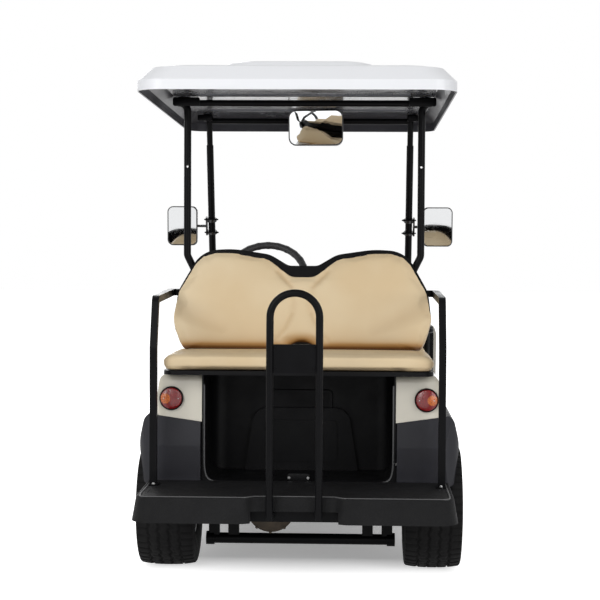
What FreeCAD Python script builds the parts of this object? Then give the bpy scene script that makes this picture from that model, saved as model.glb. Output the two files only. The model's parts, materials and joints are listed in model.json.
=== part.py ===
"""Four-seat golf cart with a rear-facing back seat, modelled in millimetres.

+X is the cart's right, +Y its front and +Z up. The origin lies on the ground, under the
middle of the cart. Every driving size is a cell of the Sizes sheet, and each sub-part is an
object of the document whose own sizes are bound to those cells.
"""
import FreeCAD, Part
import math
import os
import Sketcher
from FreeCAD import Placement, Rotation, Vector

doc = FreeCAD.newDocument("GolfCart")
sheet = doc.addObject("Spreadsheet::Sheet", "Sizes")

SIZES = {
    # whole cart
    "rear_overhang": 680,
    "wheelbase": 1660,
    "front_overhang": 460,
    "track": 980,
    # wheels
    "tyre_diameter": 457,
    "tyre_width": 215,
    "bead_diameter": 203,
    "rim_width": 178,
    "rim_wall": 5,
    "rim_lip": 9,
    "disc_wall": 6,
    "disc_dish": 22,
    "hub_radius": 34,
    "vent_radius": 11,
    "vent_count": 8,
    "seat_gap": 0.3,
    "spindle_radius": 12.5,
    "running_clearance": 0.05,
    # chassis
    "rail_width": 50,
    "rail_depth": 50,
    "rail_bottom": 268,
    "rail_inside": 205,
    "rail_rear_gap": 70,
    "rail_front_gap": 12,
    "cross_width": 40,
    "bearer_half": 450,
    # front axle and steering
    "kingpin_offset": 365,
    "kingpin_radius": 8,
    "kingpin_boss": 15,
    "boss_length": 110,
    "lug_height": 14,
    "lug_width": 32,
    "arm_reach": 110,
    "arm_height": 14,
    "arm_drop": 48,
    "stud_radius": 5,
    "eye_radius": 11,
    "beam_height": 200,
    "beam_radius": 22,
    "rod_radius": 8,
    "pitman_offset": 130,
    "pitman_height": 240,
    "pitman_thickness": 12,
    "shaft_radius": 8,
    "gear_size": 90,
    "gear_height": 345,
    "leaf_width": 44,
    # floor
    "floor_half": 545,
    "floor_sheet": 12,
    "floor_behind_axle": 335,
    "floor_before_axle": 350,
    "sill_width": 40,
    "sill_bottom": 250,
    "toe_rise": 150,
    "toe_lean": 78,
    # body
    "body_half": 520,
    "body_lean": 22,
    "body_wall": 10,
    "body_behind_axle": 260,
    "body_ahead_of_axle": 765,
    "body_corner": 25,
    "body_lower_edge": 594,
    "body_edge_fall": 28,
    "pod_height": 700,
    "deck_rise": 37,
    "deck_ahead_of_axle": 280,
    "deck_slope": 40,
    "bay_half": 430,
    "bay_depth": 355,
    "well_half": 348,
    "well_floor": 345,
    "well_ahead_of_axle": 70,
    "well_wall": 6,
    "well_corner": 60,
    "boss_half": 213,
    "boss_depth": 22,
    "fender_half": 579,
    "fender_low_half": 550,
    "fender_widest": 484,
    "fender_bottom": 340,
    "fender_ledge": 15,
    "fender_wall": 6,
    "arch_radius": 275,
    "arch_lip": 14,
    "arch_lip_proud": 4,
    # front body
    "cowl_half": 565,
    "cowl_nose_half": 440,
    "cowl_wall": 12,
    "cowl_behind_end": 50,
    "cowl_rise": 12,
    "cowl_bottom": 345,
    "cowl_edge": 75,
    "hood_fall": 110,
    "nose_fall": 240,
    "front_arch_radius": 325,
    "dash_top": 838,
    "dash_depth": 198,
    "dash_sheet": 8,
    "cup_radius": 40,
    "cup_depth": 65,
    "cup_wall": 3,
    "bumper_half": 545,
    "bumper_nose_half": 430,
    "bumper_bottom": 262,
    "bumper_top": 400,
    # step
    "step_height": 357,
    "step_half": 536,
    "step_gap": 5,
    "step_face": 85,
    "step_sheet": 5,
    "step_flare": 15,
    "notch_half": 140,
    "notch_depth": 30,
    "notch_ramp": 30,
    "notch_face": 48,
    # tubes
    "bar_side": 25,
    "bar_offset": 506,
    "bar_foot": 108,
    "bar_knee": 483,
    "bar_top": 660,
    "bar_fall": 9,
    "bar_lean": 60,
    "handle_radius": 12.5,
    "handle_half": 95,
    "handle_top": 1056,
    "handle_foot": 284,
    "plate_drop": 279,
    "plate_depth": 96,
    "strut_radius": 14,
    "strut_offset": 450,
    "strut_ahead_of_axle": 200,
    "strut_inset": 46,
    "strut_knee": 255,
    "strut_stub": 38,
    "strut_hole": 4.5,
    "strut_hole_height": 1500,
    "front_strut_offset": 430,
    "front_strut_foot": 490,
    "front_strut_knee": 640,
    "front_strut_knee_height": 1300,
    "front_strut_top": 770,
    "front_strut_radius": 12.5,
    "sleeve_wall": 2.5,
    "crossbar_radius": 12.5,
    # seats
    "seat_half": 480,
    "seat_corner": 40,
    "rear_cushion_behind_axle": 350,
    "rear_cushion_depth": 420,
    "cushion_height": 55,
    "pan_sheet": 15,
    "pan_lift": 4,
    "rear_back_behind_axle": 15,
    "rear_back_drop": 12,
    "rear_back_lean": 18.4,
    "rear_back_height": 396,
    "rear_back_half": 484,
    "notch_drop": 83,
    "shell_rim": 9,
    "shell_rise": 30,
    "shell_notch": 67,
    "back_thickness": 60,
    "shell_sheet": 12,
    "post_offset": 300,
    "post_width": 40,
    "front_back_lean": 8,
    "front_back_height": 322,
    "front_back_half": 468,
    "front_back_lift": 150,
    "lid_ahead_of_axle": 360,
    "lid_depth": 420,
    "front_cushion_height": 85,
    "hinge_radius": 5,
    "hinge_pin": 2.5,
    "hinge_width": 60,
    "hip_offset": 497,
    "hip_radius": 10,
    "battery_half": 380,
    # rear axle
    "diff_offset": 107,
    "diff_width": 90,
    "low_bar_half": 346,
    "low_bar_drop": 130,
    "low_bar_radius": 20,
    # roof
    "roof_over_front": 130,
    "roof_half": 536,
    "roof_edge": 1716,
    "roof_slope": 0.0154,
    "roof_skirt": 34,
    "roof_shoulder": 81,
    "roof_lean": 42,
    "roof_channel": 2,
    "roof_deck": 89,
    "roof_plateau": 94,
    "roof_rise": 130,
    "roof_sheet": 5,
    "roof_corner": 90,
    "liner_height": 62,
    "liner_sheet": 6,
    "liner_rib": 5,
    "liner_rib_width": 40,
    "liner_rib_pitch": 300,
    # steering wheel
    "wheel_height": 1070,
    "wheel_behind_axle": 780,
    "wheel_offset": 180,
    "wheel_tilt": 50,
    "wheel_radius": 162,
    "wheel_rim": 15,
    "column_radius": 22,
    "column_length": 500,
    # lamps and mirrors
    "lamp_diameter": 80,
    "lamp_offset": 457,
    "lamp_lift": 56,
    "lamp_depth": 22,
    "head_inner": 235,
    "head_outer": 375,
    "head_bottom": 450,
    "head_top": 530,
    "mirror_width": 128,
    "mirror_height": 170,
    "mirror_reach": 617,
    "mirror_sheet": 14,
    "mirror_clamp_height": 1278,
    "centre_mirror_width": 226,
    "centre_mirror_height": 141,
}

for row, (name, value) in enumerate(SIZES.items(), start=1):
    sheet.set("A%d" % row, name)
    sheet.set("B%d" % row, str(value))
    sheet.setAlias("B%d" % row, name)
doc.recompute()


class Size:
    """A length that knows both its number and the expression that gives it on the sheet."""

    def __init__(self, value, text):
        self.value = value
        self.text = text

    def __add__(self, other):
        other = as_size(other)
        return Size(self.value + other.value, "(%s + %s)" % (self.text, other.text))

    def __radd__(self, other):
        return as_size(other) + self

    def __sub__(self, other):
        other = as_size(other)
        return Size(self.value - other.value, "(%s - %s)" % (self.text, other.text))

    def __rsub__(self, other):
        return as_size(other) - self

    def __mul__(self, factor):
        factor = as_size(factor)
        return Size(self.value * factor.value, "(%s * %s)" % (self.text, factor.text))

    def __rmul__(self, factor):
        return self * factor

    def __rtruediv__(self, number):
        return as_size(number) / self

    def __truediv__(self, divisor):
        divisor = as_size(divisor)
        return Size(self.value / divisor.value, "(%s / %s)" % (self.text, divisor.text))

    def __neg__(self):
        return Size(-self.value, "(-1 * %s)" % self.text)


def as_size(thing):
    return thing if isinstance(thing, Size) else Size(float(thing), "%.6f" % thing)


def tangent(angle):
    return Size(math.tan(math.radians(angle.value)), "tan(%s)" % angle.text)


def cosine(angle):
    return Size(math.cos(math.radians(angle.value)), "cos(%s)" % angle.text)


class Cells:
    """The sheet's cells as Size attributes."""


S = Cells()
for name, value in SIZES.items():
    setattr(S, name, Size(float(value), "Sizes." + name))

nodes = {}


def bind(thing, name, size):
    thing.setExpression(name, as_size(size).text)


def place(thing, x, y, z):
    bind(thing, "Placement.Base.x", x)
    bind(thing, "Placement.Base.y", y)
    bind(thing, "Placement.Base.z", z)
    return thing


def box(name, low, high):
    thing = doc.addObject("Part::Box", name)
    bind(thing, "Length", as_size(high[0]) - low[0])
    bind(thing, "Width", as_size(high[1]) - low[1])
    bind(thing, "Height", as_size(high[2]) - low[2])
    return place(thing, *low)


TURNS = {"X": Rotation(Vector(0, 1, 0), 90), "Y": Rotation(Vector(1, 0, 0), -90), "Z": Rotation()}


def rod(name, radius, start, direction, length):
    thing = doc.addObject("Part::Cylinder", name)
    thing.Placement = Placement(Vector(), TURNS[direction])
    bind(thing, "Radius", radius)
    bind(thing, "Height", length)
    return place(thing, *start)


def fuse(name, *pieces):
    thing = doc.addObject("Part::MultiFuse", name)
    thing.Shapes = list(pieces)
    thing.Refine = True
    return thing


def cut(name, base, *tools):
    thing = doc.addObject("Part::Cut", name)
    thing.Base = base
    thing.Tool = tools[0] if len(tools) == 1 else fuse(name + "_tools", *tools)
    thing.Refine = True
    return thing


def common(name, *pieces):
    """What all the pieces hold together."""
    thing = doc.addObject("Part::MultiCommon", name)
    thing.Shapes = list(pieces)
    return thing


def mirrored(name, piece):
    """The same piece on the cart's other side."""
    thing = doc.addObject("Part::Mirroring", name)
    thing.Source = piece
    thing.Normal = Vector(1, 0, 0)
    return thing


def both_sides(name, piece):
    return fuse(name, piece, mirrored(name + "_left", piece))


PLANES = {"top": "XY_Plane", "rear": "XZ_Plane", "side": "YZ_Plane"}


def new_sketch(body, view, offset):
    """A sketch seen from the top, the rear or the side, moved along that view's normal."""
    sketch = body.newObject("Sketcher::SketchObject", body.Name + "_sketch")
    plane = [part for part in body.Origin.OriginFeatures if part.Role == PLANES[view]][0]
    sketch.AttachmentSupport = [(plane, "")]
    sketch.MapMode = "FlatFace"
    if view == "rear":
        offset = -as_size(offset)
    bind(sketch, "AttachmentOffset.Base.z", offset)
    return sketch


def corner_arc(before, corner, after, radius):
    """Start, end and arc of a rounded corner."""
    back = (before - corner).normalize()
    ahead = (after - corner).normalize()
    half = back.getAngle(ahead) / 2
    reach = radius / math.tan(half)
    centre = corner + (back + ahead).normalize() * (radius / math.sin(half))
    middle = centre + (corner - centre).normalize() * radius
    start = corner + back * reach
    end = corner + ahead * reach
    return start, end, Part.Arc(start, middle, end)


def bound_mark(sketch, across, up):
    """A construction point held at a place that the sheet gives."""
    mark = sketch.addGeometry(Part.Point(Vector(across.value, up.value, 0)), True)
    for kind, size in (("DistanceX", across), ("DistanceY", up)):
        index = sketch.addConstraint(Sketcher.Constraint(kind, -1, 1, mark, 1, size.value))
        sketch.setExpression("Constraints[%d]" % index, size.text)
    return mark


def draw_outline(sketch, corners):
    """A closed outline through corners (across, up) or (across, up, rounding radius)."""
    count = len(corners)
    places = [(as_size(corner[0]), as_size(corner[1])) for corner in corners]
    radii = [as_size(corner[2]) if len(corner) > 2 else None for corner in corners]
    points = [Vector(across.value, up.value, 0) for across, up in places]
    marks = [bound_mark(sketch, across, up) for across, up in places]
    cuts = []
    for index in range(count):
        if radii[index] is None:
            cuts.append((points[index], points[index], None))
        else:
            ahead = points[(index + 1) % count]
            cuts.append(corner_arc(points[index - 1], points[index], ahead, radii[index].value))
    lines = []
    for index in range(count):
        segment = Part.LineSegment(cuts[index][1], cuts[(index + 1) % count][0])
        lines.append(sketch.addGeometry(segment))
    for index in range(count):
        before, after, mark = lines[index - 1], lines[index], marks[index]
        if radii[index] is None:
            sketch.addConstraint(Sketcher.Constraint("Coincident", before, 2, after, 1))
            sketch.addConstraint(Sketcher.Constraint("Coincident", after, 1, mark, 1))
            continue
        arc = sketch.addGeometry(cuts[index][2])
        forward = sketch.getPoint(arc, 1).distanceToPoint(cuts[index][0]) < 1e-6
        first, last = (1, 2) if forward else (2, 1)
        sketch.addConstraint(Sketcher.Constraint("Tangent", before, 2, arc, first))
        sketch.addConstraint(Sketcher.Constraint("Tangent", arc, last, after, 1))
        sketch.addConstraint(Sketcher.Constraint("PointOnObject", mark, 1, before))
        sketch.addConstraint(Sketcher.Constraint("PointOnObject", mark, 1, after))
        number = sketch.addConstraint(Sketcher.Constraint("Radius", arc, radii[index].value))
        sketch.setExpression("Constraints[%d]" % number, radii[index].text)


def draw_circles(sketch, circles):
    for across, up, radius in circles:
        mark = bound_mark(sketch, as_size(across), as_size(up))
        radius = as_size(radius)
        centre = Vector(as_size(across).value, as_size(up).value, 0)
        ring = sketch.addGeometry(Part.Circle(centre, Vector(0, 0, 1), radius.value))
        sketch.addConstraint(Sketcher.Constraint("Coincident", ring, 3, mark, 1))
        number = sketch.addConstraint(Sketcher.Constraint("Radius", ring, radius.value))
        sketch.setExpression("Constraints[%d]" % number, radius.text)


def new_body(name):
    return doc.addObject("PartDesign::Body", name)


def pad(body, view, start, depth, corners=(), circles=()):
    """Material over an outline, from start through depth along the view's own axis."""
    start, depth = as_size(start), as_size(depth)
    sketch = new_sketch(body, view, start + depth if view == "rear" else start)
    if corners:
        draw_outline(sketch, corners)
    draw_circles(sketch, circles)
    feature = body.newObject("PartDesign::Pad", body.Name + "_pad")
    feature.Profile = sketch
    bind(feature, "Length", depth)
    return feature


def pocket(body, view, start, depth, corners=(), circles=()):
    """The same outline taken away instead."""
    start, depth = as_size(start), as_size(depth)
    sketch = new_sketch(body, view, start if view == "rear" else start + depth)
    if corners:
        draw_outline(sketch, corners)
    draw_circles(sketch, circles)
    feature = body.newObject("PartDesign::Pocket", body.Name + "_pocket")
    feature.Profile = sketch
    bind(feature, "Length", depth)
    return feature


def padded_body(name, view, start, depth, corners=(), circles=()):
    body = new_body(name)
    pad(body, view, start, depth, corners, circles)
    return body


def round_edges(body, radius, wanted):
    """Fillet on the edges of the body's last feature that the test picks."""
    doc.recompute()
    base = body.Tip
    names = ["Edge%d" % (index + 1) for index, edge in enumerate(base.Shape.Edges) if wanted(edge)]
    feature = body.newObject("PartDesign::Fillet", body.Name + "_fillet")
    feature.Base = (base, names)
    bind(feature, "Radius", radius)
    return feature


def turned(name, outline):
    """An outline (along X, radius) turned about the X axis."""
    body = new_body(name)
    sketch = new_sketch(body, "top", 0)
    draw_outline(sketch, outline)
    feature = body.newObject("PartDesign::Revolution", name + "_turn")
    feature.Profile = sketch
    feature.ReferenceAxis = (sketch, ["H_Axis"])
    feature.Angle = 360
    return body


def rounded_rectangle(low, high, radius):
    return [
        (low[0], low[1], radius),
        (high[0], low[1], radius),
        (high[0], high[1], radius),
        (low[0], high[1], radius),
    ]


def own_shape(name, shape):
    thing = doc.addObject("Part::Feature", name)
    thing.Shape = shape
    return thing


def bent_path(points, bend):
    """Straight runs joined by tangent arcs of one bend radius."""
    points = [Vector(*[as_size(number).value for number in point]) for point in points]
    bend = as_size(bend).value
    edges = []
    last = points[0]
    for before, corner, after in zip(points, points[1:], points[2:]):
        start, end, arc = corner_arc(before, corner, after, bend)
        edges.append(Part.LineSegment(last, start).toShape())
        edges.append(arc.toShape())
        last = end
    edges.append(Part.LineSegment(last, points[-1]).toShape())
    return Part.Wire(edges), points


def bent_tube(name, points, bend, radius):
    """A round bar along bent runs: three-dimensional, so no single sketch can hold its path."""
    path, points = bent_path(points, bend)
    circle = Part.Circle(points[0], points[1] - points[0], as_size(radius).value)
    profile = Part.Wire(circle.toShape())
    return own_shape(name, path.makePipeShell([profile], True, True))


def bent_square(name, points, bend, side):
    """A square bar along bent runs, its sides square to the world at its first end."""
    path, points = bent_path(points, bend)
    half = as_size(side).value / 2
    ahead = (points[1] - points[0]).normalize()
    across = Vector(1, 0, 0) if abs(ahead.x) < 0.9 else Vector(0, 1, 0)
    across = (across - ahead * across.dot(ahead)).normalize()
    up = ahead.cross(across)
    ring = [points[0] + across * (a * half) + up * (b * half)
            for a, b in ((-1, -1), (1, -1), (1, 1), (-1, 1))]
    profile = Part.makePolygon(ring + ring[:1])
    return own_shape(name, path.makePipeShell([profile], True, True))


def node(name, thing):
    thing.Label = name
    nodes[name] = thing
    return thing


# Places that several pieces share
overall_length = S.rear_overhang + S.wheelbase + S.front_overhang
rear_end = -(overall_length / 2)
front_end = overall_length / 2
rear_axle = rear_end + S.rear_overhang
front_axle = rear_axle + S.wheelbase
hub_height = S.tyre_diameter / 2
wheel_x = S.track / 2
rail_top = S.rail_bottom + S.rail_depth
rail_outside = S.rail_inside + S.rail_width
floor_top = rail_top + S.floor_sheet
floor_rear = rear_axle + S.floor_behind_axle
floor_front = front_axle - S.floor_before_axle
deck_height = S.pod_height + S.deck_rise
body_rear = rear_axle - S.body_behind_axle
body_front = rear_axle + S.body_ahead_of_axle
deck_front = rear_axle + S.deck_ahead_of_axle
pod_rear = deck_front + S.deck_slope
well_front = rear_axle + S.well_ahead_of_axle
fender_rear = body_rear - S.fender_ledge
step_front = fender_rear - S.step_gap
shelf_height = S.dash_top - S.dash_depth
bead = S.bead_diameter / 2
spindle_bore = S.spindle_radius + S.running_clearance
pan_bottom = deck_height + S.pan_lift
rear_cushion_bottom = pan_bottom + S.pan_sheet
rear_cushion_top = rear_cushion_bottom + S.cushion_height
rear_cushion_rear = rear_axle - S.rear_cushion_behind_axle
rear_cushion_front = rear_cushion_rear + S.rear_cushion_depth
rear_back_start = rear_axle - S.rear_back_behind_axle
rear_back_foot = rear_cushion_top - S.rear_back_drop
lid_rear = rear_axle + S.lid_ahead_of_axle
front_pan_top = S.pod_height + S.pan_sheet
front_back_foot = S.pod_height + S.front_back_lift
front_back_start = lid_rear - 21
strut_along = rear_axle + S.strut_ahead_of_axle
front_strut_foot = front_axle - S.front_strut_foot
front_strut_knee = front_axle - S.front_strut_knee
front_strut_top = front_axle - S.front_strut_top
roof_front = front_strut_top + S.roof_over_front
roof_length = roof_front - rear_end
cowl_front = front_end - S.cowl_behind_end
cowl_top = S.dash_top + S.cowl_rise
bar_knee = S.step_height + S.bar_knee
bar_top = S.step_height + S.bar_top


def make_chassis():
    wide = S.cross_width
    rail = box("rail", (S.rail_inside, rear_end + S.rail_rear_gap, S.rail_bottom),
               (rail_outside, front_end - S.rail_front_gap, rail_top))
    pieces = [rail, mirrored("rail_left", rail)]
    stations = (rear_end + S.rail_rear_gap + 5, step_front - wide / 2, deck_front + wide,
                body_front - 5, front_axle - 420, front_axle + 300)
    for number, along in enumerate(stations):
        pieces.append(box("cross_%d" % number, (-S.rail_inside, along, S.rail_bottom),
                          (S.rail_inside, along + wide, rail_top)))
    for number, along in enumerate((rear_end + S.rail_rear_gap + wide, step_front - wide * 2)):
        pieces.append(box("step_bearer_%d" % number, (-S.bearer_half, along, rail_top),
                          (S.bearer_half, along + wide, S.step_height - S.step_sheet)))
    pieces.append(box("well_bearer", (-rail_outside, body_rear + 20, rail_top),
                      (rail_outside, body_rear + 20 + wide, S.well_floor)))
    for number, along in enumerate((body_front + 15, floor_front - 110)):
        arm = box("outrigger_%d" % number, (rail_outside, along, rail_top - wide),
                  (S.floor_half - S.sill_width, along + wide, rail_top))
        pieces += [arm, mirrored("outrigger_left_%d" % number, arm)]
    leg = S.handle_half - S.handle_radius
    foot = box("handle_bracket",
               (leg - 15, rear_end + S.handle_radius * 2 + S.seat_gap, S.handle_foot),
               (leg + 11, rear_end + S.rail_rear_gap + 5, S.handle_foot + 22))
    pieces += [foot, mirrored("handle_bracket_left", foot)]
    pieces.append(box("gear_bracket", (-S.rail_inside, front_axle - wide, S.rail_bottom + 7),
                      (-S.pitman_offset - 35, front_axle + wide, rail_top - 7)))
    node("chassis_frame", fuse("chassis_frame", *pieces))


def toe_board(height):
    """How far forward the toe board's rear face has come at a height."""
    slope = S.toe_lean / (shelf_height - floor_top - S.toe_rise)
    return floor_front + 20 + (as_size(height) - floor_top - S.toe_rise) * slope


def make_floor():
    half = S.floor_half
    knee = floor_top + S.toe_rise
    tread = padded_body("floor_tread", "side", -half, half * 2, [
        (floor_rear, rail_top),
        (floor_front, rail_top),
        (floor_front + 32, knee - 4, 40),
        (toe_board(shelf_height) + S.floor_sheet, shelf_height - 2),
        (toe_board(shelf_height), shelf_height + 2),
        (floor_front + 20, knee, 40),
        (floor_front - 10, floor_top, 8),
        (floor_rear, floor_top),
    ])
    sill = padded_body("sill", "rear", floor_rear, floor_front - floor_rear, [
        (half - S.sill_width, rail_top), (half - S.sill_width, S.sill_bottom, 12),
        (half, S.sill_bottom, 18), (half, rail_top),
    ])
    ribs = []
    for number in range(7):
        across = half * 0.8 - number * 24
        ribs.append(box("tread_rib_%d" % number, (across, body_front + 30, floor_top),
                        (across + 8, floor_front - 30, floor_top + 3)))
    ribs += [mirrored("tread_rib_left_%d" % number, rib) for number, rib in enumerate(ribs)]
    floor = fuse("floor_blank", tread, sill, mirrored("sill_left", sill), *ribs)
    node("floor_pan", cut("floor_pan", floor, column_clearance("floor_column_gap")))


def edge_line(drop):
    """The joint between the cream body and the fender seen from behind, well side first."""
    edge = S.body_lower_edge - drop
    return [(S.well_half, edge - S.body_edge_fall), (S.body_half - 30, edge - 8, 150),
            (S.body_half + 20, edge)]


def body_blank(name, wall):
    """The rear body's outer form, or its inner one a wall smaller: three outlines that cross."""
    half, lean = S.body_half - wall, S.body_lean
    corner = S.body_corner - wall
    low = S.body_lower_edge - S.body_edge_fall
    gone = 1 if wall else 0
    inner = as_size(wall)
    side = padded_body(name + "_side", "side", -S.body_half - 5, S.body_half * 2 + 10, [
        (body_rear + inner, low - gone),
        (body_rear + inner + 6, deck_height - inner, 30 - inner),
        (deck_front - inner, deck_height - inner, 15),
        (pod_rear - inner, S.pod_height - inner, 10),
        (body_front - inner, S.pod_height - inner, 25 - inner),
        (body_front - inner, floor_top - gone),
        (floor_rear + 5 + inner, floor_top - gone),
        (floor_rear + 5 + inner, low - gone),
    ])
    rear = padded_body(name + "_rear", "rear", body_rear - 5, body_front - body_rear + 10, [
        (-half, floor_top - gone - 1), (half, floor_top - gone - 1), (half, S.body_lower_edge, 200),
        (half - lean, deck_height - inner, 30 - inner), (-half + lean, deck_height - inner, 30 - inner),
        (-half, S.body_lower_edge, 200),
    ])
    top = padded_body(name + "_top", "top", floor_top - 10, deck_height - floor_top + 20, [
        (-half, body_rear + inner, corner), (half, body_rear + inner, corner),
        (half, body_front - inner, corner), (-half, body_front - inner, corner),
    ])
    return common(name, side, rear, top)


def make_rear_body():
    outer = body_blank("body_outer", 0)
    inner = body_blank("body_inner", S.body_wall)
    well = box("body_well_gap", (-S.well_half, body_rear - 30, floor_top),
               (S.well_half, well_front, deck_height + 5))
    bay = padded_body("body_bay_gap", "top", S.pod_height - S.body_wall - 1, S.body_wall + 2,
                      rounded_rectangle((-S.bay_half, lid_rear + 30),
                                        (S.bay_half, lid_rear + 30 + S.bay_depth), 20))
    low = S.body_lower_edge - S.body_edge_fall - 10
    wedge = padded_body("body_edge_cut", "rear", body_rear - 10, floor_rear - body_rear + 14,
                        [(S.body_half + 20, low), (S.well_half, low)] + edge_line(0))
    shell = cut("body_shell", outer, inner, well, bay, wedge, mirrored("body_edge_cut_left", wedge))
    axis = lid_rear - 6
    low = S.pod_height
    pieces = []
    for number, across in enumerate((250, 310)):
        away = across - 8 - S.seat_gap if number == 0 else across + S.seat_gap
        pieces.append(box("hinge_lug_%d" % number, (away, axis - 5, low),
                          (away + 8, axis + 5, low + 6)))
        pieces.append(rod("hinge_eye_%d" % number, S.hinge_radius, (away, axis, low + 6), "X", 8))
    pieces.append(rod("hinge_pin", S.hinge_pin, (as_size(244), axis, low + 6), "X", 70))
    pieces += [mirrored("hinge_left_%d" % number, piece) for number, piece in enumerate(pieces)]
    node("rear_body", fuse("rear_body", shell, *pieces))


def fender_outline(proud, wall=0):
    """The fender's cross-section seen from behind, bulging past the body to its widest line."""
    out = S.fender_half + proud - wall
    if wall:
        crown = [(S.well_half - 5, S.body_lower_edge - S.body_edge_fall - wall),
                 (S.body_half - 30, S.body_lower_edge - 8 - wall, 150)]
        foot = [(S.fender_low_half + proud - wall, S.fender_bottom - 5),
                (S.well_half - 5, S.fender_bottom - 5)]
    else:
        crown = edge_line(S.seat_gap)
        foot = [(S.fender_low_half + proud, S.fender_bottom, 20), (S.well_half, S.fender_bottom)]
    return crown + [(out - 22, S.body_lower_edge - 18 - wall, 40),
                    (out, S.fender_widest, 150)] + foot


def fender_blank(name, wall):
    """The fender's outer form, or its inner one a wall smaller and open below and inside."""
    start = fender_rear + wall
    end = floor_rear - 3 - wall
    low = S.fender_bottom - (5 if wall else 0)
    top = S.body_lower_edge + 5
    across = S.well_half + 4 - (10 if wall else 0)
    side = padded_body(name + "_side", "side", across, S.fender_half - across, [
        (start + 5, low), (start, S.fender_bottom + 140, 60), (start + 12, top), (end, top),
        (end, low),
    ])
    rear = padded_body(name + "_rear", "rear", fender_rear - 5, end - fender_rear + 8,
                       fender_outline(0, wall))
    out = S.fender_half - wall
    plan = padded_body(name + "_plan", "top", low - 5, top - low + 5, [
        (across, start), (out, start, 70 - wall), (out, end, 30 - wall), (across, end)])
    return common(name, side, rear, plan)


def make_fenders():
    panel = cut("fender_panel", fender_blank("fender_outer", 0),
                fender_blank("fender_inner", S.fender_wall))
    lip_radius = S.arch_radius + S.arch_lip
    ring = padded_body("arch_ring", "side", S.fender_low_half - 60, 120,
                       circles=[(rear_axle, hub_height, lip_radius)])
    proud = padded_body("arch_section", "rear", fender_rear, floor_rear - 3 - fender_rear,
                        fender_outline(S.arch_lip_proud))
    panel = fuse("fender_with_lip", panel, common("arch_lip", ring, proud))
    arch = rod("arch_cut", S.arch_radius, (S.well_half, rear_axle, hub_height), "X",
               S.fender_half - S.well_half + 40)
    node("rear_fenders", both_sides("rear_fenders", cut("fender", panel, arch)))


def make_bag_well():
    reach = S.well_half - S.seat_gap
    wall = S.well_wall
    corner = S.well_corner
    top = deck_height
    depth = well_front - body_rear
    tub = padded_body("well_outside", "rear", body_rear, depth, [
        (-reach, S.well_floor, corner), (reach, S.well_floor, corner), (reach, top), (-reach, top),
    ])
    inside = S.well_floor + wall
    section = padded_body("well_section", "rear", body_rear - 1, depth - wall + 1, [
        (-reach + wall, inside, corner - wall), (reach - wall, inside, corner - wall),
        (reach - wall, top + 1), (-reach + wall, top + 1),
    ])
    plan = padded_body("well_plan", "top", inside - 1, top - inside + 3, [
        (-reach + wall, body_rear - 1), (reach - wall, body_rear - 1),
        (reach - wall, well_front - wall, corner), (-reach + wall, well_front - wall, corner),
    ])
    boss = padded_body("well_boss", "rear", well_front - wall - S.boss_depth, S.boss_depth + 1, [
        (-S.boss_half, inside - 1), (S.boss_half, inside - 1),
        (S.boss_half * 0.83, inside + 235, 60), (-S.boss_half * 0.83, inside + 235, 60),
    ])
    panel = padded_body("well_panel", "rear", well_front - wall - S.boss_depth - 6, 7,
                        rounded_rectangle((-S.boss_half * 0.63, inside + 34),
                                          (S.boss_half * 0.63, inside + 190), 18))
    shell = cut("well_shell", tub, common("well_inside", section, plan))
    node("bag_well", fuse("bag_well", shell, boss, panel))


def make_step():
    skin = S.step_sheet
    half = S.step_half
    rear = rear_end + S.step_flare
    step = new_body("rear_step")
    sketch = new_sketch(step, "top", S.step_height)
    notch = rear + S.notch_depth
    mouth = S.notch_half + S.notch_ramp
    draw_outline(sketch, [
        (-half, step_front), (-half, rear, 60), (-mouth, rear, 30), (-S.notch_half, notch, 30),
        (S.notch_half, notch, 30), (mouth, rear, 30), (half, rear, 60), (half, step_front),
    ])
    top = step.newObject("PartDesign::Pad", "rear_step_pad")
    top.Profile = sketch
    top.Reversed = True
    top.TaperAngle = math.degrees(math.atan2(S.step_flare.value, S.step_face.value))
    bind(top, "Length", S.step_face)
    round_edges(step, 5, lambda edge: on_level(edge, S.step_height) and
                edge.BoundBox.YMin < step_front.value - 20)
    low = S.step_height - S.step_face
    pocket(step, "top", low - 1, S.step_face - skin + 1, [
        (-half + skin, step_front - 20), (-half + skin, rear + skin, 55),
        (-mouth - skin, rear + skin, 25),
        (-S.notch_half - skin, notch + skin, 25), (S.notch_half + skin, notch + skin, 25),
        (mouth + skin, rear + skin, 25),
        (half - skin, rear + skin, 55), (half - skin, step_front - 20),
    ])
    open_front = box("step_front_cut", (-half - 60, step_front - 25, low - 1),
                     (half + 60, step_front + 40, S.step_height - skin))
    trimmed = box("step_trim", (-half - 60, step_front, low - 1),
                  (half + 60, step_front + 60, S.step_height + 1))
    low_notch = box("notch_cut", (-S.notch_half - 8, rear_end - 1, low - 1),
                    (S.notch_half + 8, notch + 30, S.step_height - S.notch_face))
    node("rear_step", cut("rear_step_cut", step, open_front, trimmed, low_notch))


def on_level(edge, height):
    """True for an edge that lies flat at a height."""
    bounds = edge.BoundBox
    return abs(bounds.ZMin - height.value) < 0.01 and abs(bounds.ZMax - height.value) < 0.01


def shell_face(height):
    """How far forward the rear seat's shell reaches at a height."""
    rise = (as_size(height) - rear_back_foot) * tangent(S.rear_back_lean)
    depth = (S.back_thickness + S.seat_gap + S.shell_sheet) / cosine(S.rear_back_lean)
    return rise + depth + rear_back_start


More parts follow.
